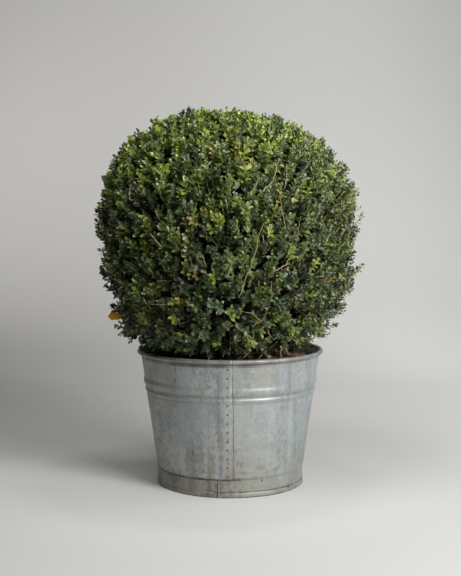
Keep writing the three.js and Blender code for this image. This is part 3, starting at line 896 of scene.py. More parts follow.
    def rivets(self) -> bpy.types.Mesh:
        """Every rivet head, each a low dome square to the sheet."""
        work = bmesh.new()
        for spot, out in self.rivet_places():
            turn = Vector((0, 0, 1)).rotation_difference(out).to_matrix().to_4x4()
            sink = Matrix.Translation((0, 0, -self.rivet_sink))
            tall = self.rivet_height + self.rivet_sink
            dome = Matrix.Diagonal((self.rivet_radius, self.rivet_radius, tall, 1))
            made = bmesh.ops.create_uvsphere(work, u_segments=14, v_segments=8, radius=1)["verts"]
            under = [corner for corner in made if corner.co.z < -0.01]
            bmesh.ops.delete(work, geom=under, context="VERTS")
            kept = [corner for corner in made if corner.is_valid]
            base = [edge for edge in work.edges if edge.is_boundary]
            bmesh.ops.contextual_create(work, geom=base)
            bmesh.ops.transform(work, matrix=Matrix.Translation(spot) @ turn @ sink @ dome, verts=kept)
        return taken("rivets", work)

    def build(self) -> None:
        """Builds and shows every piece of the tub."""
        zinc, foot_zinc = self.zinc.material(), self.foot_zinc.material()
        show("tub_wall", self.wall(), [zinc], "zinc_sheet", "pot_wall", "side_seam_front", "side_seam_back")
        show("tub_rim", self.rim(), [zinc], "zinc_sheet", "pot_rim")
        show("foot_ring", self.foot(), [foot_zinc], "foot_zinc", "foot_band", "foot_seam")
        heads = [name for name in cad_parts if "rivet" in name]
        show("rivets", self.rivets(), [self.rivet_finish.material()], "rivet_zinc", *heads)
        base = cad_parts["pot_base"].data
        base.materials.clear()
        base.materials.append(foot_zinc)


# ---------------------------------------------------------------- soil


@dataclass
class Soil:
    """The compost: a lumpy top with crumbs and chips of bark on it."""

    columns: int = 160
    rings: int = 36
    side: float = 30 * MM
    sag: float = 12 * MM
    lump: float = 5 * MM
    chips: int = 900
    least_chip: tuple[float, float, float] = (1.6, 1.2, 0.7)
    most_chip: tuple[float, float, float] = (7.5, 4.0, 2.0)
    chip_rise: float = 1.2 * MM
    seed: int = 71
    finish: GrainFinish = GrainFinish(
        "potting_soil", (0.115, 0.062, 0.036), (0.035, 0.02, 0.013), 140, depth=2 * MM
    )
    chip_tones: tuple[Colour, ...] = ((0.27, 0.15, 0.085), (0.15, 0.08, 0.048), (0.36, 0.235, 0.145))

    def __post_init__(self) -> None:
        """Reads the top of the solid compost."""
        _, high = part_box("potting_soil")
        self.radius, self.top = high.x, high.z

    def height_at(self, x: float, y: float) -> float:
        """Height of the uneven top."""
        sag = self.sag * (math.hypot(x, y) / self.radius) ** 2
        lumps = noise.noise(Vector((x, y, 0)) * 42) + 0.5 * noise.noise(Vector((x, y, 5)) * 110)
        return self.top - sag - 0.5 * self.lump + self.lump * lumps

    def body(self) -> bpy.types.Mesh:
        """The compost down to a little below its top."""
        steps = [self.radius * share for share in np.linspace(0, 1, self.rings)]
        outline = [(radius, self.top) for radius in steps]
        outline += [(self.radius - 4 * MM, self.top - self.side), (0, self.top - self.side)]
        work = turned(outline, self.columns, closed=False)
        for corner in work.verts:
            if corner.co.z > self.top - MM:
                corner.co.z = self.height_at(corner.co.x, corner.co.y)
        return taken("soil", work)

    def crumbs(self) -> bpy.types.Mesh:
        """Chips and crumbs of bark lying on the top.

        Returns:
            One mesh of small uneven blocks in three browns.
        """
        draw = np.random.default_rng(self.seed)
        count = self.chips
        block = np.array([(x, y, z) for x in (-1, 1) for y in (-1, 1) for z in (-1, 1)], float)
        quads = np.array([(0, 1, 3, 2), (4, 6, 7, 5), (0, 4, 5, 1), (2, 3, 7, 6), (0, 2, 6, 4), (1, 5, 7, 3)])
        sides = np.concatenate([quads[:, [0, 1, 2]], quads[:, [0, 2, 3]]])
        reach = (self.radius - 8 * MM) * np.sqrt(draw.uniform(0.12, 1, count))
        turn = draw.uniform(0, math.tau, count)
        middle = np.stack([reach * np.cos(turn), reach * np.sin(turn), np.zeros(count)], axis=1)
        middle[:, 2] = [self.height_at(x, y) + self.chip_rise for x, y, _ in middle]
        size = draw.uniform(self.least_chip, self.most_chip, (count, 3)) * MM
        corners = block * size[:, None] * draw.uniform(0.55, 1.1, (count, 8, 1))
        long = unit_rows(draw.normal(size=(count, 3)) * (1, 1, 0.35))
        wide = square_to(long, draw.normal(size=(count, 3)) * (1, 1, 0.5))
        frames = np.stack([long, wide, np.cross(long, wide)], axis=1)
        points = middle[:, None] + np.einsum("nki,nij->nkj", corners, frames)
        faces = sides[None] + 8 * np.arange(count)[:, None, None]
        slots = np.repeat(draw.integers(0, len(self.chip_tones), count), len(sides))
        mesh = mesh_of("bark_chips", points.reshape(-1, 3), faces.reshape(-1, 3), slots)
        mesh.polygons.foreach_set("use_smooth", np.zeros(len(mesh.polygons), dtype=bool))
        return mesh

    def build(self) -> None:
        """Builds and shows the compost and its chips."""
        show("soil", self.body(), [self.finish.material()], "potting_soil", "potting_soil")
        tones = [
            PlainFinish(f"bark_chip_{index + 1}", tone, 0.9).material()
            for index, tone in enumerate(self.chip_tones)
        ]
        show("bark_chips", self.crumbs(), tones, "potting_soil")


# ---------------------------------------------------------------- trunk and boughs


class SourceRandom:
    """The same run of numbers from 0 to 1 as the solids' own rule draws."""

    def __init__(self, seed: int) -> None:
        """Starts the run at a seed."""
        self.state = seed & 0xFFFFFFFF

    def __call__(self) -> float:
        """The next number."""
        self.state = (self.state + 0x6D2B79F5) & 0xFFFFFFFF
        mixed = (self.state ^ (self.state >> 15)) * (self.state | 1) & 0xFFFFFFFF
        mixed ^= (mixed + ((mixed ^ (mixed >> 7)) * (mixed | 61) & 0xFFFFFFFF)) & 0xFFFFFFFF
        return ((mixed ^ (mixed >> 14)) & 0xFFFFFFFF) / 4294967296


@dataclass
class Curve:
    """A centripetal Catmull-Rom curve through a few points, measured by its length."""

    points: Sequence[Vector]
    samples: int = 200

    def __post_init__(self) -> None:
        """Samples the curve and its length."""
        path = [self._raw(step / self.samples) for step in range(self.samples + 1)]
        self.path = np.array(path)
        lengths = np.linalg.norm(np.diff(self.path, axis=0), axis=1)
        self.reach = np.concatenate([[0], np.cumsum(lengths)])

    def _raw(self, share: float) -> Vector:
        """The point at a share of the run of points, as the solids' own curves work it out."""
        points = [Vector(point) for point in self.points]
        points = [2 * points[0] - points[1], *points, 2 * points[-1] - points[-2]]
        place = share * (len(points) - 3)
        index = min(int(place), len(points) - 4)
        part = place - index
        p0, p1, p2, p3 = points[index : index + 4]
        d0, d1, d2 = ((b - a).length ** 0.5 for a, b in ((p0, p1), (p1, p2), (p2, p3)))
        leave = ((p1 - p0) / d0 - (p2 - p0) / (d0 + d1) + (p2 - p1) / d1) * d1
        arrive = ((p2 - p1) / d1 - (p3 - p1) / (d1 + d2) + (p3 - p2) / d2) * d1
        cubic = 2 * p1 - 2 * p2 + leave + arrive
        square = -3 * p1 + 3 * p2 - 2 * leave - arrive
        return cubic * part**3 + square * part**2 + leave * part + p1

    def at(self, share: float) -> Vector:
        """The point at a share of the curve's length."""
        target = share * self.reach[-1]
        return Vector([np.interp(target, self.reach, self.path[:, axis]) for axis in range(3)])

    def along(self, share: float) -> Vector:
        """The curve's direction at a share of its length."""
        return (self.at(min(1, share + 0.01)) - self.at(max(0, share - 0.01))).normalized()


@dataclass
class Ball:
    """The clipped surface that every shoot grows out to, by the same rule as the solids."""

    centre: Vector = field(default_factory=lambda: Vector((-8, 0, 620)) * MM)
    radius: float = 322 * MM
    up: float = 308 * MM
    down: float = 344 * MM
    fullness: float = 2.4
    ripple: float = 4 * MM
    swells: tuple[Swell, ...] = (
        (0, 47, -20, 24),
        (180, 44, 10, 20),
        (0, -42, -20, 20),
        (180, -42, 8, 20),
        (180, 14, 9, 14),
        (0, 16, 5, 14),
        (175, -10, -5, 12),
    )

    def reach(self, units: np.ndarray) -> np.ndarray:
        """Distance from the ball's centre to the clipped surface.

        Args:
            units: Directions, one row each.

        Returns:
            The distance in each direction.
        """
        x, y, z = units.T
        flat = np.hypot(x, y) / self.radius
        tall = np.abs(z) / np.where(z > 0, self.up, self.down)
        smooth = (flat**self.fullness + tall**self.fullness) ** (-1 / self.fullness)
        uneven = np.sin(7 * x + 1.3) * np.sin(6 * y + 0.4) + 0.7 * np.sin(9 * z + 5 * x - 4 * y)
        return swollen(smooth, units, self.swells) + self.ripple * uneven

    def directions(self, points: np.ndarray) -> np.ndarray:
        """The unit direction of each point from the ball's centre."""
        return unit_rows(points - np.array(self.centre))

    def shell(self, units: np.ndarray, inset: np.ndarray | float) -> np.ndarray:
        """Points this far inside the clipped surface."""
        return np.array(self.centre) + units * (self.reach(units) - inset)[:, None]

    def spot(self, azimuth: float, elevation: float, inset: float = 0) -> np.ndarray:
        """The point this far inside the clipped surface, at an azimuth and an elevation."""
        return self.shell(np.array([ball_direction(azimuth, elevation)]), inset)[0]

    def depth(self, points: np.ndarray) -> np.ndarray:
        """How far inside the clipped surface each point is."""
        offset = points - np.array(self.centre)
        distance = np.linalg.norm(offset, axis=1)
        return self.reach(offset / np.maximum(distance, 1e-9)[:, None]) - distance


@dataclass
class Limbs:
    """The short trunk and the boughs, which follow the solids and carry the bark's relief."""

    ball: Ball
    seed: int = 20417
    lean: tuple[float, float] = (-9 * MM, 3 * MM)
    height: float = 112 * MM
    buried: float = 12 * MM
    foot_radius: float = 24 * MM
    top_radius: float = 18 * MM
    flare: float = 0.55
    flare_height: float = 15 * MM
    lobes: int = 5
    tiers: tuple[tuple[int, float, float, float, float], ...] = (
        (5, 44 * MM, 2, 20, 9.5 * MM),
        (4, 74 * MM, 38, 50, 9 * MM),
        (1, 102 * MM, 82, 0, 10 * MM),
    )
    azimuth_stray: float = 10
    climb_stray: float = 8
    tip_radius: float = 4.5 * MM
    bow: float = 16 * MM
    sway: float = 14 * MM
    tip_inset: float = 126.8 * MM
    finish: GrainFinish = GrainFinish(
        "bark", (0.30, 0.225, 0.14), (0.115, 0.085, 0.058), 55, (1, 1, 0.25), 1.5 * MM
    )

    def __post_init__(self) -> None:
        """Works out the trunk's and the boughs' curves."""
        self.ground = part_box("trunk")[0].z
        self.trunk_curve = Curve(
            [
                Vector((0, 0, self.ground - self.buried)),
                Vector((self.lean[0] * 0.3, self.lean[1] * 0.3, self.ground + self.height * 0.35)),
                Vector((self.lean[0], self.lean[1], self.ground + self.height)),
            ]
        )
        self.bough_curves = list(self._bough_curves())

    def _bough_curves(self) -> Iterable[tuple[Curve, float]]:
        """Each bough's curve and root radius, in the solids' order."""
        random = SourceRandom(self.seed + 1)
        for count, root_height, rise, turn, root_radius in self.tiers:
            for index in range(count):
                azimuth = turn + 360 * index / count + self.azimuth_stray * (random() - 0.5)
                climb = rise + self.climb_stray * (random() - 0.5)
                root = self.trunk_curve.at((root_height + self.buried) / (self.height + self.buried))
                unit = ball_direction(azimuth, climb)
                reach = float(self.ball.reach(np.array([unit]))[0])
                tip = self.ball.centre + unit * (reach - self.tip_inset)
                bow = Vector((unit.x, unit.y, 0)) * self.bow * (0.7 + 0.6 * random())
                sway = Vector((-unit.y, unit.x, 0)) * self.sway * (random() - 0.5)
                middle = [root.lerp(tip, 0.3) + bow, root.lerp(tip, 0.65) + bow + sway]
                yield Curve([root, *middle, tip]), root_radius

    def limb(
        self, curve: Curve, radius_at: Callable[[float, float], float], sides: int, steps: int
    ) -> bmesh.types.BMesh:
        """A limb bent to a curve, with bark relief.

        Args:
            curve: The limb's middle line.
            radius_at: Gives its radius for a share of the length and an angle round it.
            sides: Columns round it.
            steps: Rings along it.

        Returns:
            The limb, closed at both ends.
        """
        work = bmesh.new()
        bmesh.ops.create_cone(work, cap_ends=True, segments=sides, radius1=1, radius2=1, depth=1)
        long = [edge for edge in work.edges if abs(edge.verts[0].co.z - edge.verts[1].co.z) > 0.5]
        bmesh.ops.subdivide_edges(work, edges=long, cuts=steps - 1, use_grid_fill=True)
        hint = Vector((0.31, 0.95, 0.07))
        for corner in work.verts:
            share = corner.co.z + 0.5
            angle = math.atan2(corner.co.y, corner.co.x)
            along = curve.along(share)
            first = (hint - along * hint.dot(along)).normalized()
            out = first * math.cos(angle) + along.cross(first) * math.sin(angle)
            middle = curve.at(share)
            grain = Vector((math.cos(angle) * 3, math.sin(angle) * 3, share * curve.reach[-1] * 28))
            relief = 1 + 0.09 * noise.noise(grain) + 0.05 * noise.noise(grain * 3)
            corner.co = middle + out * radius_at(share, angle) * relief
        return work

    def trunk(self) -> bpy.types.Mesh:
        """The trunk with its root flare, cut flat where it meets the soil."""

        def radius_at(share: float, angle: float) -> float:
            """The trunk's radius at a share of its length and an angle round it."""
            above = max(0.0, self.trunk_curve.at(share).z - self.ground)
            flare = self.flare * math.exp(-above / self.flare_height)
            taper = self.foot_radius + (self.top_radius - self.foot_radius) * share
            return taper * (1 + flare * (1 + 0.35 * math.cos(self.lobes * angle)))

        return taken("trunk", self.limb(self.trunk_curve, radius_at, 40, 36))

    def boughs(self) -> bpy.types.Mesh:
        """Every bough, each from inside the trunk to where it enters the foliage."""
        whole = bmesh.new()
        for curve, root_radius in self.bough_curves:
            taper = self.tip_radius - root_radius
            limb = self.limb(curve, lambda share, _: root_radius + taper * share, 16, 40)
            part = bpy.data.meshes.new("bough_part")
            limb.to_mesh(part)
            limb.free()
            whole.from_mesh(part)
            bpy.data.meshes.remove(part)
        return taken("boughs", whole)

    def build(self) -> None:
        """Builds and shows the trunk and the boughs."""
        bark = self.finish.material()
        show("trunk_bark", self.trunk(), [bark], "bark", "trunk")
        solids = sorted(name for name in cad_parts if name.startswith("bough"))
        show("boughs_bark", self.boughs(), [bark], "bark", *solids)


# ---------------------------------------------------------------- crown


@dataclass
class Strands:
    """Many thin stems alike: the middle points and radii of their rings, and each one's wood tone."""

    points: np.ndarray
    radii: np.ndarray
    tones: np.ndarray
    sides: int

    def arrays(self) -> tuple[np.ndarray, np.ndarray, np.ndarray]:
        """The stems as closed tubes.

        Returns:
            Their corners, triangles and material slots.
        """
        count, rings, _ = self.points.shape
        along = unit_rows(np.gradient(self.points, axis=1))
        overall = unit_rows(self.points[:, -1] - self.points[:, 0])
        first = square_to(along, np.cross(overall, UP + (0.13, 0.29, 0))[:, None])
        second = np.cross(along, first)
        turn = math.tau * np.arange(self.sides) / self.sides
        ring = first[:, :, None] * np.cos(turn)[:, None] + second[:, :, None] * np.sin(turn)[:, None]
        corners = self.points[:, :, None] + ring * self.radii[:, :, None, None]
        base, faces = np.arange(self.sides), []
        for step in range(rings - 1):
            low, high = base + step * self.sides, base + (step + 1) * self.sides
            after = np.roll(high, -1)
            faces += [np.stack([low, np.roll(low, -1), after], 1), np.stack([low, after, high], 1)]
        last = (rings - 1) * self.sides
        faces.append(np.array([(0, step + 1, step) for step in range(1, self.sides - 1)]))
        faces.append(np.array([(last, last + step, last + step + 1) for step in range(1, self.sides - 1)]))
        one = np.concatenate(faces)
        triangles = one[None] + (rings * self.sides) * np.arange(count)[:, None, None]
        return corners.reshape(-1, 3), triangles.reshape(-1, 3), np.repeat(self.tones, len(one))


@dataclass(frozen=True)
class Leaf:
    """The outline of one box leaf at length one: x along it, y across it and z out of its upper face."""

    width: float = 0.63
    droop: float = 0.10
    cup: float = 0.08

    def corners(self) -> np.ndarray:
        """The leaf's seven corners: root, right edge, tip, left edge and the hollow of its middle."""
        outline = [(0, 0), (0.28, -0.40), (0.79, -0.44), (1, 0), (0.79, 0.44), (0.28, 0.40), (0.52, 0)]
        made = []
        for along, across in outline:
            height = -self.droop * along**2 + self.cup * (abs(across) / 0.44)
            made.append((along, across * self.width, height))
        return np.array(made)

    def triangles(self) -> np.ndarray:
        """The leaf's six faces round its middle, with their upper side out."""
        return np.array([(corner, (corner + 1) % 6, 6) for corner in range(6)])


@dataclass(frozen=True)
class BareStem:
    """A stem that shows on the crown's face: its path, in azimuths and elevations, radius, inset and tone."""

    path: tuple[tuple[float, float], ...]
    radius: float
    inset: float = 7
    tone: WoodTone = WoodTone.TAN


@dataclass(frozen=True)
class Opening:
    """A dark opening between the sprays: its azimuth and elevation, and its reach."""

    azimuth: float
    elevation: float
    reach: float


@dataclass(frozen=True)
class Tint:
    """Sprays of another colour: their azimuth and elevation, their tone, and how far they reach."""

    azimuth: float
    elevation: float
    tone: LeafTone
    reach: float = 13


@dataclass(frozen=True)
class Fringe:
    """A part of the crown whose sprays stand out loosely, seen from the ball's middle.

    It is given by its azimuth, elevation and reach, all three angles, the share of its shoots that leave the
    clipped surface, how far inside the surface they end, and the share of the others that are missing.
    """

    azimuth: float
    elevation: float
    reach: float
    share: float
    inset: tuple[float, float]
    missing: float

    def covers(self, units: np.ndarray) -> np.ndarray:
        """Which of the directions lie in this part."""
        return angle_from(units, self.azimuth, self.elevation) < self.reach


class CrownMap:
    """What shows where on the crown: stems, openings, tinted sprays, uneven clipping and loose fringes."""

    STEMS = (
        BareStem(((-75, 5), (-77, 0), (-78, -6), (-80, -11), (-83, -18), (-85, -24)), 1.5),
        BareStem(((-65, 32), (-68, 26), (-70, 22), (-75, 18)), 1.3),
        BareStem(((-61, 30), (-64, 21)), 1.1),
        BareStem(((-67, 16), (-67, 10), (-65, 3)), 1.1),
        BareStem(((-53, 25), (-56, 21), (-60, 17)), 1.0),
        BareStem(((-76, 23), (-80, 17)), 1.0),
        BareStem(((-84, 42), (-84, 33), (-82, 27)), 1.1),
        BareStem(((-58, 8), (-59, 1)), 1.0),
        BareStem(((-58, -9), (-63, -9), (-65, -12), (-70, -14)), 1.4),
        BareStem(((-62, -3), (-64, -8)), 1.1),
        BareStem(((-87, -9), (-90, -16)), 1.3),
        BareStem(((-71, -18), (-71, -22)), 1.2),
        BareStem(((-71, -28), (-73, -34), (-78, -37)), 1.2),
        BareStem(((-82, -30), (-78, -31), (-74, -35)), 1.0),
        BareStem(((-86, -34), (-84, -38), (-76, -43)), 0.9),
        BareStem(((-123, 1), (-118, -4)), 1.5),
        BareStem(((-105, -8), (-104, -13), (-102, -17)), 1.1),
        BareStem(((-126, -28), (-118, -28)), 1.2),
        BareStem(((-108, -26), (-105, -30)), 1.2),
        BareStem(((-141, -28), (-135, -31)), 1.0),
        BareStem(((-136, 21), (-135, 15)), 1.5),
        BareStem(((-99, 24), (-97, 17)), 1.3, 16, WoodTone.INNER),
        BareStem(((-98, 3), (-98, 0), (-94, -3)), 1.2, 8, WoodTone.INNER),
        BareStem(((-100, 37), (-103, 32)), 0.9),
    )
    OPENINGS = tuple(
        Opening(*row)
        for row in (
            (-87, 33, 12), (-86, 26, 14), (-87, 18, 16), (-84, 4, 14), (-66, 24, 13), (-70, 7, 12),
            (-75, 0, 13), (-59, -11, 13), (-78, -20, 14), (-59, -2, 12), (-121, -3, 14), (-110, -6, 14),
            (-98, -10, 14), (-115, -23, 14), (-125, -16, 15), (-98, 21, 15), (-116, 24, 11), (-121, 10, 12),
            (-97, 30, 12), (-112, -35, 15), (-102, -47, 24), (-92, -52, 20),
        )
    )
    TINTS = (
        Tint(-129, 33, LeafTone.FRESH),
        Tint(-136, 25, LeafTone.FRESH, 10),
        Tint(-121, 29, LeafTone.FRESH),
        Tint(-111, 32, LeafTone.FRESH),
        Tint(-73, 53, LeafTone.FRESH, 18),
        Tint(-48, 48, LeafTone.FRESH),
        Tint(-55, 38, LeafTone.FRESH, 11),
        Tint(-86, 9, LeafTone.LEAF),
        Tint(-91, 21, LeafTone.FRESH),
        Tint(-131, -1, LeafTone.LEAF, 10),
        Tint(-70, -41, LeafTone.LEAF, 10),
        Tint(-44, -22, LeafTone.LEAF),
        Tint(-98, 36, LeafTone.YELLOW, 9),
        Tint(-101, 11, LeafTone.YELLOW, 12),
        Tint(-81, 31, LeafTone.YELLOW, 10),
        Tint(-105, -16, LeafTone.YELLOW, 7),
        Tint(-110, -25, LeafTone.YELLOW, 9),
        Tint(-106, 6, LeafTone.YELLOW, 8),
        Tint(-85, 41, LeafTone.ORANGE, 8),
        Tint(-56, 34, LeafTone.ORANGE, 7),
        Tint(-96, 11, LeafTone.ORANGE, 5),
        Tint(-124, -35, LeafTone.ORANGE, 8),
        Tint(-92, -33, LeafTone.ORANGE, 6),
        Tint(-23, 28, LeafTone.PALE, 10),
        Tint(-73, -44, LeafTone.PALE, 7),
        Tint(-107, -5, LeafTone.PALE, 10),
        Tint(-30, -19, LeafTone.YELLOW, 9),
    )
    CLIPPING = (
        (0, -16, 14, 20),
        (0, 90, 4, 24),
        (0, 42, -19, 18),
        (180, 34, 13, 17),
        (180, 3, 14, 14),
        (0, 9, -9, 12),
        (0, -13, -7, 8),
        (180, -28, 32, 16),
        (0, -36, 17, 17),
    )
    FRINGES = (
        Fringe(-8, -30, 20, 0.28, (-30, -7), 0.20),
        Fringe(-28, -42, 15, 0.26, (-20, -4), 0.15),
        Fringe(0, -8, 18, 0.12, (-7, -1), 0.15),
        Fringe(-92, -46, 24, 0.10, (-4, 4), 0.25),
        Fringe(-168, -38, 20, 0.12, (-20, -6), 0.50),
        Fringe(-172, -8, 20, 0.10, (-9, -1), 0.40),
        Fringe(-176, 22, 16, 0.06, (-8, 0), 0.20),
        Fringe(165, -30, 22, 0.10, (-16, -4), 0.35),
        Fringe(20, -32, 18, 0.20, (-18, -4), 0.15),
    )
    HANGING = (
        ((30, -150, 372), (59, -170, 357), (75, -180, 351), (84, -185, 341), (96, -188, 324)),
        ((112, -150, 368), (86, -168, 349), (70, -182, 336), (58, -186, 322)),
        ((128, -150, 362), (118, -160, 344), (122, -166, 326)),
        ((50, -176, 350), (36, -186, 338), (20, -188, 325)),
    )
    WITHERED = (-148.0, -33.4)


@dataclass
class Crown:
    """Branches, twigs, shoots and leaves that grow on from the boughs out to the clipped surface."""

    ball: Ball
    limbs: Limbs
    seed: int = 20417
    branches: int = 170
    branch_inset: float = 118 * MM
    branch_drop: float = 40 * MM
    branch_radii: tuple[float, float] = (3.4 * MM, 1.9 * MM)
    branch_bend: tuple[float, float] = (0.12, 6 * MM)
    branch_clearance: float = 12 * MM
    bare_bough: int = 60
    twigs: int = 900
    twig_inset: float = 74 * MM
    twig_drop: float = 14 * MM
    twig_radii: tuple[float, float] = (1.9 * MM, 1.2 * MM)
    twig_bend: tuple[float, float] = (0.14, 3 * MM)
    twig_scatter: float = 5 * MM
    shoots: int = 5600
    shoot_drop: float = 34 * MM
    tuft_inset: tuple[float, float] = (-1, 17)
    uneven: float = 6
    stray_share: float = 0.015
    stray_inset: tuple[float, float] = (-9, -2)
    pull: tuple[float, float] = (0.15, 0.6)
    lift: float = 1.5
    stray: float = 0.5
    internode: float = 7.2 * MM
    leaf_length: float = 14.6 * MM
    leaf_sizes: tuple[float, float] = (0.86, 1.16)
    facing: tuple[float, float] = (0.08, 0.5)
    inner_length: float = 23 * MM
    inner_pairs: int = 9
    skirts: tuple[tuple[float, float, float], ...] = ((-37, 21, 27 * MM), (-98, 40, 10 * MM))
    leaves_in_piece: int = 26000
    skirt_start: float = 90 * MM
    mouth_inset: float = 16 * MM
    rim_gap: float = 4 * MM
    shoot_radii: tuple[float, float] = (1.2 * MM, 0.5 * MM)
    leggy: tuple[float, float] = (0.22, 0.03)
    leggy_inset: tuple[float, float] = (-2, 9)
    leggy_radii: tuple[float, float] = (1.3 * MM, 0.75 * MM)
    stem_gap: float = 2.8 * MM
    stem_cover: float = 0.12
    stem_drop: float = 20 * MM
    stem_taper: tuple[float, float] = (0.78, 0.45)
    hanging_radii: tuple[float, float] = (1.0 * MM, 0.7 * MM)
    funnel: float = 70 * MM
    # darker tones low on the crown are partly painted shade under it, and the fresher ones high up partly
    # painted light from above, besides the real fresh growth
    low_odds: tuple[float, ...] = (0.14, 0.28, 0.23, 0.16, 0.135, 0.035, 0.015, 0.004, 0.001, 0)
    high_odds: tuple[float, ...] = (0.015, 0.06, 0.11, 0.08, 0.32, 0.365, 0.045, 0.004, 0.001, 0)
    tuft_tone_share: float = 0.28
    tint_share: float = 0.6
    # painted sheen: on the crown's right, where the key light falls, a share of the fresh sprays takes the
    # bluish tone in place of a glossy sheen
    painted_sheen_side: tuple[float, float] = (110 * MM, 0.3)
    withered_length: float = 34 * MM
    withered_inset: float = -5 * MM
    leaf: Leaf = field(default_factory=Leaf)

    def __post_init__(self) -> None:
        """Starts the seeded draws and reads where the rim and the soil are."""
        self.draw = np.random.default_rng(self.seed)
        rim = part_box("pot_rim")[1]
        self.rim_top, self.soil_top = rim.z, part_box("potting_soil")[1].z
        self.mouth = rim.x - self.mouth_inset
        self.strands: list[Strands] = []

    def lattice(self, count: int) -> np.ndarray:
        """Directions spread evenly all round, on the same spiral as the solids' shoots."""
        step = np.arange(count) + 0.5
        up = 1 - 2 * step / count
        turn = math.radians(180 * (3 - math.sqrt(5))) * np.arange(count)
        flat = np.sqrt(1 - up * up)
        return np.stack([flat * np.cos(turn), flat * np.sin(turn), up], axis=1)

    def above_floor(self, points: np.ndarray, clearance: float) -> np.ndarray:
        """Which points clear the rim outside the tub's mouth, and the soil inside it."""
        out = np.hypot(points[:, 0], points[:, 1])
        turn = np.degrees(np.arctan2(points[:, 1], points[:, 0]))
        raised = np.zeros(len(points))
        for middle, spread, height in self.skirts:
            raised += height * np.exp(-(((turn - middle) / spread) ** 4))
        raised *= out > self.skirt_start
        return points[:, 2] > np.where(out > self.mouth, self.rim_top, self.soil_top) + clearance + raised

    def on_face(self, points: np.ndarray) -> np.ndarray:
        """Where each point comes out on the clipped surface, straight from the ball's centre."""
        return self.ball.shell(self.ball.directions(points), 0)

    def wood(self, paths: np.ndarray, radii: Sequence[float], tone: WoodTone, sides: int) -> None:
        """Adds stems that taper along their paths.

        Args:
            paths: The points along each stem.
            radii: The radius at the root and at the tip.
            tone: The stems' colour.
            sides: Corners in each ring.
        """
        radius = np.broadcast_to(np.linspace(*radii, paths.shape[1]), paths.shape[:2])
        self.strands.append(Strands(paths, radius, np.full(len(paths), tone.slot), sides))

    @staticmethod
    def bowed_at(roots: np.ndarray, bends: np.ndarray, tips: np.ndarray, share: np.ndarray) -> np.ndarray:
        """The points at a share of the curves that leave the roots toward the bends and end at the tips."""
        return (1 - share) ** 2 * roots + 2 * share * (1 - share) * bends + share**2 * tips

    def bowed(self, roots: np.ndarray, bends: np.ndarray, tips: np.ndarray, rings: int) -> np.ndarray:
        """Points all along such curves, one row of them a curve."""
        share = np.linspace(0, 1, rings)[None, :, None]
        return self.bowed_at(roots[:, None], bends[:, None], tips[:, None], share)

    def stray_bend(self, roots: np.ndarray, tips: np.ndarray, share: float, sag: float) -> np.ndarray:
        """The points that stems bend toward, off the straight line by a share of their length."""
        length = np.linalg.norm(tips - roots, axis=1)[:, None]
        away = share * length * unit_rows(self.draw.normal(size=tips.shape))
        return (roots + tips) / 2 + away - UP * sag

    def grow_branches(self) -> np.ndarray:
        """Branches from the boughs to the inner crown.

        Returns:
            Their tips.
        """
        on_boughs = np.concatenate([curve.path[self.bare_bough :] for curve, _ in self.limbs.bough_curves])
        units = self.lattice(self.branches)
        inset = self.branch_inset * self.draw.uniform(0.9, 1.25, len(units))
        tips = self.ball.shell(units, inset)
        tips = tips[self.above_floor(tips, self.branch_clearance)]
        roots = on_boughs[nearest(tips - UP * self.branch_drop, on_boughs)]
        paths = self.bowed(roots, self.stray_bend(roots, tips, *self.branch_bend), tips, 7)
        self.wood(paths, self.branch_radii, WoodTone.INNER, 6)
        return tips

    def grow_twigs(self, parents: np.ndarray) -> np.ndarray:
        """Twigs from the branches' tips to the leafy shell.

        Args:
            parents: The branches' tips.

        Returns:
            The twigs' paths, each ending at its tip.
        """
        units = self.lattice(self.twigs)
        inset = self.twig_inset * self.draw.uniform(0.8, 1.15, len(units))
        tips = self.ball.shell(units, inset)
        tips += self.draw.normal(0, self.twig_scatter, tips.shape)
        tips = tips[self.above_floor(tips, self.rim_gap)]
        roots = parents[nearest(tips - UP * self.twig_drop, parents)]
        paths = self.bowed(roots, self.stray_bend(roots, tips, *self.twig_bend), tips, 6)
        self.wood(paths, self.twig_radii, WoodTone.INNER, 4)
        return paths

    def grow_shoots(self, parents: np.ndarray) -> Rows:
        """Leafy shoots from the twigs' tips out to the clipped surface.

        Args:
            parents: The twigs' tips.

        Returns:
            Arrays by name, one row a shoot: its root, the point that it bends toward, its tip, its twig, and
            whether it is leggy.
        """
        draw = self.draw
        units = unit_rows(self.lattice(self.shoots) + draw.normal(0, 0.012, (self.shoots, 3)))
        drop = UP * self.shoot_drop * (1 - units[:, 2:] ** 2)
        tuft = nearest(self.ball.shell(units, self.twig_inset) - drop, parents)
        roots = parents[tuft]
        middle = self.ball.directions(roots + drop)
        pull = draw.uniform(*self.pull, len(parents))[tuft][:, None]
        units = unit_rows(units * (1 - pull) + middle * pull)
        shared = draw.uniform(*self.tuft_inset, len(parents))[tuft] * MM
        inset = shared + np.abs(draw.normal(0, self.uneven, len(units))) * MM
        stray = draw.random(len(units)) < self.stray_share
        inset[stray] = draw.uniform(*self.stray_inset, stray.sum()) * MM
        kept = np.ones(len(units), dtype=bool)
        for fringe in CrownMap.FRINGES:
            covered = fringe.covers(units)
            loose = covered & (draw.random(len(units)) < fringe.share)
            inset[loose] = draw.uniform(*(limit * MM for limit in fringe.inset), loose.sum())
            kept &= ~covered | loose | (draw.random(len(units)) > fringe.missing)
        leggy = draw.random(len(units)) < np.interp(units[:, 2], [-0.5, 0.7], self.leggy)
        inset[leggy] = draw.uniform(*self.leggy_inset, leggy.sum()) * MM
        tips = self.ball.shell(units, swollen(inset, units, CrownMap.CLIPPING))
        upright = UP * self.lift * (1 - units[:, 2:] ** 2)
        upright *= draw.uniform(0.5, 1.25, (len(units), 1))
        ends = unit_rows(units + upright + self.stray * draw.normal(0, 0.6, units.shape))
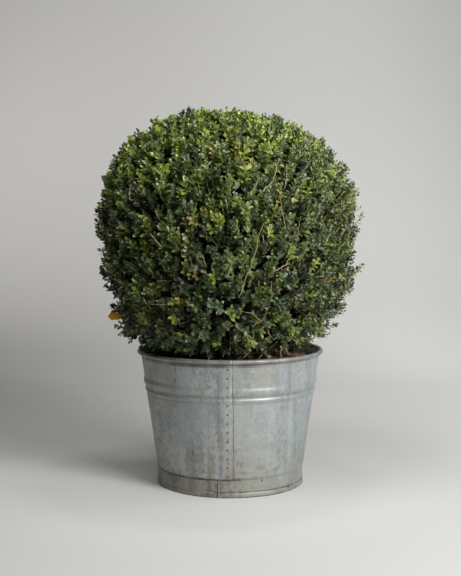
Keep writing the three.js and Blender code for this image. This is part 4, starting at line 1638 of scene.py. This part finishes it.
        bends = tips - ends * 0.6 * np.linalg.norm(tips - roots, axis=1)[:, None]
        kept &= self.above_floor(tips, self.rim_gap) & self.above_floor(bends, self.rim_gap)
        return kept_rows({"root": roots, "bend": bends, "tip": tips, "twig": tuft, "leggy": leggy}, kept)

    def leaf_places(self, shoots: Rows) -> Rows:
        """Where the leaves go: crossed pairs up each shoot, closer and smaller toward its tip.

        Args:
            shoots: Arrays from grow_shoots.

        Returns:
            Arrays by name, one row a leaf: its root, its direction, its upper side, its length and its shoot.
        """
        draw = self.draw
        roots, bends, tips = shoots["root"], shoots["bend"], shoots["tip"]
        length = np.linalg.norm(bends - roots, axis=1) + np.linalg.norm(tips - bends, axis=1)
        step = self.internode * draw.uniform(0.8, 1.25, len(tips))
        count = np.clip((length / step * 0.85).astype(int), 3, 9)
        count[shoots["leggy"]] = draw.integers(2, 5, shoots["leggy"].sum())
        shoot = np.repeat(np.arange(len(tips)), count)
        node = np.concatenate([np.arange(number) for number in count])
        back = (node + 0.15) * step[shoot]
        share = np.clip(1 - back / length[shoot], 0.02, 1)[:, None]
        at = self.bowed_at(roots[shoot], bends[shoot], tips[shoot], share)
        stem = unit_rows((1 - share) * (bends - roots)[shoot] + share * (tips - bends)[shoot])
        hint = square_to(stem, draw.normal(size=(len(tips), 3))[shoot])
        turn = (node * math.pi / 2 + draw.normal(0, 0.18, len(node)))[:, None]
        out = hint * np.cos(turn) + np.cross(stem, hint) * np.sin(turn)
        spread = np.radians(np.interp(node, [0, 1, 2, 4], [16, 32, 46, 58]))[:, None]
        size = np.interp(node, [0, 1, 2, 3, 9], [0.55, 0.80, 1.0, 1.0, 0.9])
        outward = self.ball.directions(at)
        coarse = np.clip(0.5 + outward @ np.array((-0.45, -0.1, 0.35)), 0, 1)
        outward = (outward + 0.5 * UP) * np.interp(coarse, [0.25, 0.75], self.facing)[:, None]
        size = size * np.interp(coarse, [0.2, 0.8], self.leaf_sizes)
        places = {"root": [], "along": [], "up": [], "length": [], "shoot": []}
        for side in (1, -1):
            lean = spread + draw.normal(0, 0.18, spread.shape)
            along = stem * np.cos(lean) + side * out * np.sin(lean) + draw.normal(0, 0.1, stem.shape)
            along = unit_rows(along)
            face = stem * np.sin(lean) - side * out * np.cos(lean)
            face = square_to(along, face + outward + 0.35 * UP + draw.normal(0, 0.4, stem.shape))
            places["root"].append(at + along * 0.6 * MM)
            places["along"].append(along)
            places["up"].append(face)
            places["length"].append(self.leaf_length * size * draw.uniform(0.74, 1.14, len(node)))
            places["shoot"].append(shoot)
        made = {name: np.concatenate(rows) for name, rows in places.items()}
        tip = made["root"] + made["along"] * made["length"][:, None]
        clear = self.above_floor(tip, 0.5 * MM) & (self.ball.depth(tip) > -30 * MM)
        return kept_rows(made, clear & self.clear_of_map(made))

    def inner_places(self, paths: np.ndarray) -> Rows:
        """Where the shaded leaves go: pairs along each twig, turned any way.

        Args:
            paths: The twigs' paths.

        Returns:
            The same arrays as leaf_places, with -1 for the shoot.
        """
        draw = self.draw
        share = np.tile(np.linspace(0.35, 1, self.inner_pairs), 2) * (paths.shape[1] - 1.001)
        low = share.astype(int)
        part = (share - low)[None, :, None]
        at = (paths[:, low] * (1 - part) + paths[:, low + 1] * part).reshape(-1, 3)
        along = unit_rows(draw.normal(size=at.shape))
        up = square_to(along, draw.normal(size=at.shape) + 0.4 * UP)
        length = self.inner_length * draw.uniform(0.7, 1.2, len(at))
        made = {"root": at, "along": along, "up": up, "length": length, "shoot": np.full(len(at), -1)}
        tip = at + along * length[:, None]
        return kept_rows(made, self.above_floor(tip, 2 * MM) & self.above_floor(at, 2 * MM))

    def stem_path(self, stem: BareStem, rings: int) -> np.ndarray:
        """Points along a bare stem, a little inside the clipped surface."""
        units = np.array([ball_direction(*pair) for pair in stem.path])
        return self.ball.shell(unit_rows(resampled(units, rings)), stem.inset * MM)

    def clear_of_map(self, places: Rows) -> np.ndarray:
        """Which leaves stay: none in front of a bare stem, and none in an opening's funnel."""
        middle = places["root"] + places["along"] * (places["length"] / 2)[:, None]
        face, depth = self.on_face(middle), self.ball.depth(middle)
        keep = np.ones(len(middle), dtype=bool)
        for stem in CrownMap.STEMS:
            samples = self.on_face(self.stem_path(stem, 24))
            gap = np.min(np.linalg.norm(face[:, None] - samples[None], axis=2), axis=1)
            before = self.draw.random(len(middle)) < self.stem_cover
            keep &= ~((gap < self.stem_gap) & (depth < stem.inset * MM + 2 * MM) & ~before)
        for opening in CrownMap.OPENINGS:
            at = self.ball.spot(opening.azimuth, opening.elevation)
            gap = np.linalg.norm((face - at) * (1, 1, 0.62), axis=1)
            keep &= ~(gap < opening.reach * MM * (1 - depth / self.funnel))
        return keep

    def show_stems(self, parents: np.ndarray) -> None:
        """Adds the bare stems, each carried back to a twig, and the thin ones that hang to the compost."""
        for stem in CrownMap.STEMS:
            path = self.stem_path(stem, 12)
            if path[0, 2] > path[-1, 2]:
                path = path[::-1]
            path[1:-1] += self.draw.normal(0, 0.9, (len(path) - 2, 3)) * MM
            root = parents[nearest((path[0] - UP * self.stem_drop)[None], parents)]
            radii = [share * (stem.radius * MM) for share in self.stem_taper]
            self.wood(np.concatenate([root, path])[None], radii, stem.tone, 6)
        for points in CrownMap.HANGING:
            self.wood(resampled(np.array(points) * MM, 9)[None], self.hanging_radii, WoodTone.TAN, 5)

    def tones(self, shoots: Rows) -> np.ndarray:
        """A leaf tone for each shoot, shared within a tuft, fresher toward the top and darker low down,
        partly as painted light from above and painted shade below.

        Args:
            shoots: Arrays from grow_shoots.

        Returns:
            The material slot of each shoot's leaves.
        """
        draw, tips = self.draw, shoots["tip"]
        height = (tips[:, 2] - self.ball.centre.z) / self.ball.up
        low, high = np.array(self.low_odds), np.array(self.high_odds)
        share = np.clip((height + 0.3) / 1.2, 0, 1)[:, None] ** 1.3
        odds = np.cumsum(low * (1 - share) + high * share, axis=1)
        tuft_draw = draw.random(self.twigs)[shoots["twig"]]
        own = draw.random(len(tips))
        shared = (draw.random(len(tips)) < self.tuft_tone_share) & (tuft_draw < 0.95)
        pick = np.where(shared, tuft_draw, own)[:, None] * odds[:, -1:]
        tones = np.sum(pick > odds, axis=1)
        # painted sheen: fresh sprays on the lit right side turn to the bluish tone
        painted_sheen = (tips[:, 0] > self.painted_sheen_side[0]) & (draw.random(len(tips)) < self.painted_sheen_side[1])
        tones[painted_sheen & (tones == LeafTone.FRESH.slot)] = LeafTone.BLUE.slot
        face = self.on_face(tips)
        for tint in CrownMap.TINTS:
            distance = np.linalg.norm(face - self.ball.spot(tint.azimuth, tint.elevation), axis=1)
            near = (distance < tint.reach * MM) & (draw.random(len(tips)) < self.tint_share)
            tones[near | (distance == distance.min())] = tint.tone.slot
        return tones

    def show_leaves(self, places: Rows, tones: np.ndarray) -> None:
        """Shows the leaves, joined into a few pieces.

        Args:
            places: Arrays from leaf_places.
            tones: The tone of each leaf.
        """
        finishes = [tone.value.material() for tone in LeafTone]
        shape, faces = self.leaf.corners(), self.leaf.triangles()
        root, along, up = places["root"], places["along"], places["up"]
        frames = np.stack([along, np.cross(up, along), up], axis=1) * places["length"][:, None, None]
        points = root[:, None] + np.einsum("ki,nij->nkj", shape, frames)
        pieces = math.ceil(len(tones) / self.leaves_in_piece)
        order = np.argsort(np.arctan2(root[:, 1], root[:, 0]), kind="stable")
        for index, chosen in enumerate(np.array_split(order, pieces)):
            triangles = faces[None] + len(shape) * np.arange(len(chosen))[:, None, None]
            slots = np.repeat(tones[chosen], len(faces))
            name = f"leaves_{index + 1}"
            mesh = mesh_of(name, points[chosen].reshape(-1, 3), triangles.reshape(-1, 3), slots)
            show(name, mesh, finishes, "foliage", "foliage_ball")
        log.info("%d leaves", len(tones))

    def withered(self, places: Rows) -> Rows:
        """Adds one large withered leaf that hangs out of the crown's lower side.

        Args:
            places: The arrays of the other leaves.

        Returns:
            The arrays with its row at their end, and -2 for its shoot.
        """
        root = self.ball.spot(*CrownMap.WITHERED, self.withered_inset)
        along = unit_rows(np.array((-0.95, -0.25, 0.02)))
        up = square_to(along, np.array((-0.1, -0.9, 0.3)))
        last = {"root": root, "along": along, "up": up, "length": self.withered_length, "shoot": -2}
        return {name: np.concatenate([rows, np.array(last[name])[None]]) for name, rows in places.items()}

    def show_wood(self) -> None:
        """Shows every branch, twig and shoot stem as one piece."""
        points, triangles, slots, offset = [], [], [], 0
        for strand in self.strands:
            corners, faces, tones = strand.arrays()
            points.append(corners)
            triangles.append(faces + offset)
            slots.append(tones)
            offset += len(corners)
        mesh = mesh_of("twigs", np.concatenate(points), np.concatenate(triangles), np.concatenate(slots))
        show("twigs", mesh, [tone.value.material() for tone in WoodTone], "bark")

    def build(self) -> None:
        """Grows and shows the whole crown."""
        twigs = self.grow_twigs(self.grow_branches())
        shoots = self.grow_shoots(twigs[:, -1])
        stems = self.bowed(shoots["root"], shoots["bend"], shoots["tip"], 4)
        self.wood(stems[~shoots["leggy"]], self.shoot_radii, WoodTone.GREEN, 3)
        self.wood(stems[shoots["leggy"]], self.leggy_radii, WoodTone.TAN, 4)
        self.show_stems(twigs[:, -1])
        self.show_wood()
        outer, inner = self.leaf_places(shoots), self.inner_places(twigs)
        places = self.withered({name: np.concatenate([outer[name], inner[name]]) for name in outer})
        # the inner leaves take the near-black SHADE tone, painted shade
        tones = np.append(self.tones(shoots), (LeafTone.WITHERED.slot, LeafTone.SHADE.slot))
        self.show_leaves(places, tones[places["shoot"]])


# ---------------------------------------------------------------- studio


@dataclass(frozen=True)
class SoftBox:
    """A square soft light: where it stands and points, its width, power, colour and how wide it spreads."""

    name: str
    place: Place
    target: Place
    width: float
    power: float
    colour: Colour = (1, 1, 1)
    spread: float = 180

    def light(self) -> None:
        """Puts the light in the scene."""
        data = bpy.data.lights.new(self.name, "AREA")
        data.shape, data.size, data.energy, data.color = "SQUARE", self.width, self.power, self.colour
        data.spread = math.radians(self.spread)
        lamp = placed(self.name, data)
        lamp.location = self.place
        toward = Vector(self.target) - Vector(self.place)
        lamp.rotation_euler = toward.to_track_quat("-Z", "Y").to_euler()


@dataclass
class Studio:
    """A pale sweep, soft lights and the camera."""

    half_width: float = 7.0
    front: float = -8.0
    wall: float = 4.2
    bend: float = 2.2
    wall_height: float = 6.0
    sweep_colour: Colour = (0.66, 0.655, 0.638)
    camera_place: Place = (0.00067, -2.65944, 0.678046)
    camera_pitch: float = 4.17554
    lens: float = 66.79
    film_width: float = 36
    boxes: tuple[SoftBox, ...] = (
        SoftBox("key", (1.6, -2.24, 1.93), (0, 0, 0.4), 1.1, 60),
        SoftBox("low_key", (2.0, -1.8, 1.5), (0, 0, 0.4), 0.8, 32),
        SoftBox("low_side", (1.8, 0.2, 1.4), (0.6, 3.2, 0.3), 0.8, 15.5),
        SoftBox("over_left", (-0.7, -0.9, 2.5), (0, 0, 0.5), 1.0, 17.5, (1, 0.985, 0.955)),
        SoftBox("over", (0.1, -0.3, 2.1), (0, 0, 0.5), 0.9, 3.5),
        SoftBox("top", (0.1, 0.0, 2.0), (0, -0.03, 0.9), 0.3, 0.32, spread=32),
        SoftBox("wall_middle", (0.5, 2.4, 2.8), (0.5, 4.2, 0.5), 0.8, 8.2),
        SoftBox("wall_low", (0.9, 1.6, 2.2), (0.7, 3.8, 0.2), 0.7, 2),
        SoftBox("wall_left", (-1.9, 2.0, 1.6), (-1.1, 4.2, 1.25), 0.7, 7.0, (1, 0.97, 0.91), 120),
        SoftBox("wall_right", (0.9, 2.2, 1.5), (0.8, 4.2, 0.6), 0.6, 8.5),
        SoftBox("floor_back", (1.3, 2.0, 1.4), (0.7, 1.8, 0.0), 0.6, 1.7, spread=90),
        SoftBox("side", (2.4, -0.6, 1.6), (0, 0, 0.6), 1.0, 4.2),
    )

    def sweep(self) -> None:
        """A floor that curves up into a wall well behind the plant."""
        work = bmesh.new()
        arc = [
            (self.wall - self.bend + self.bend * math.sin(turn), self.bend - self.bend * math.cos(turn))
            for turn in np.linspace(0, math.pi / 2, 25)
        ]
        line = [(self.front, 0.0), *arc, (self.wall, self.wall_height)]
        corners = [work.verts.new((-self.half_width, y, z)) for y, z in line]
        edges = [work.edges.new(pair) for pair in zip(corners, corners[1:])]
        made = bmesh.ops.extrude_edge_only(work, edges=edges)["geom"]
        moved = [part for part in made if isinstance(part, bmesh.types.BMVert)]
        bmesh.ops.translate(work, vec=(2 * self.half_width, 0, 0), verts=moved)
        mesh = taken("sweep", work)
        mesh.materials.append(PlainFinish("sweep_paper", self.sweep_colour, 0.9).material())
        floor = placed("sweep", mesh)
        floor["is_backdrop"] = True

    def camera(self) -> None:
        """The camera, low and level with the lower half of the ball."""
        data = bpy.data.cameras.new("camera")
        data.lens, data.sensor_width = self.lens, self.film_width
        camera = placed("camera", data)
        camera.location = self.camera_place
        camera.rotation_euler = (math.radians(90 - self.camera_pitch), 0, 0)
        bpy.context.scene.camera = camera

    def build(self) -> None:
        """Sets up the sweep, the lights and the camera, in air with no light of its own."""
        self.sweep()
        for box in self.boxes:
            box.light()
        world = bpy.data.worlds.new("studio_air")
        world.use_nodes = True
        world.node_tree.nodes["Background"].inputs["Strength"].default_value = 0
        bpy.context.scene.world = world
        bpy.context.scene.view_settings.view_transform = "Standard"
        self.camera()


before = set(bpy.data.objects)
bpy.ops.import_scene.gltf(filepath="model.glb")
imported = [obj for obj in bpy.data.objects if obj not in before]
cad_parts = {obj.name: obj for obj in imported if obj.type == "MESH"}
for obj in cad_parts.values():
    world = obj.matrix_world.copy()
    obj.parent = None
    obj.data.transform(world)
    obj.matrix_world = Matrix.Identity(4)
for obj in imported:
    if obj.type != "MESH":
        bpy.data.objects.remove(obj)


def main() -> None:
    """Builds the plant and its studio, and works out the two sizes, of the solids and of what is shown."""
    logging.basicConfig(level=logging.INFO, format="%(name)s: %(message)s", stream=sys.stdout)
    solid_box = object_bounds()
    Tub().build()
    Soil().build()
    ball = Ball()
    limbs = Limbs(ball)
    limbs.build()
    Crown(ball, limbs).build()
    Studio().build()
    sizes = {"cad": solid_box, "visual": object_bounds()}
    {name: [list(corner) for corner in box] for name, box in sizes.items()}


if __name__ == "__main__":
    main()
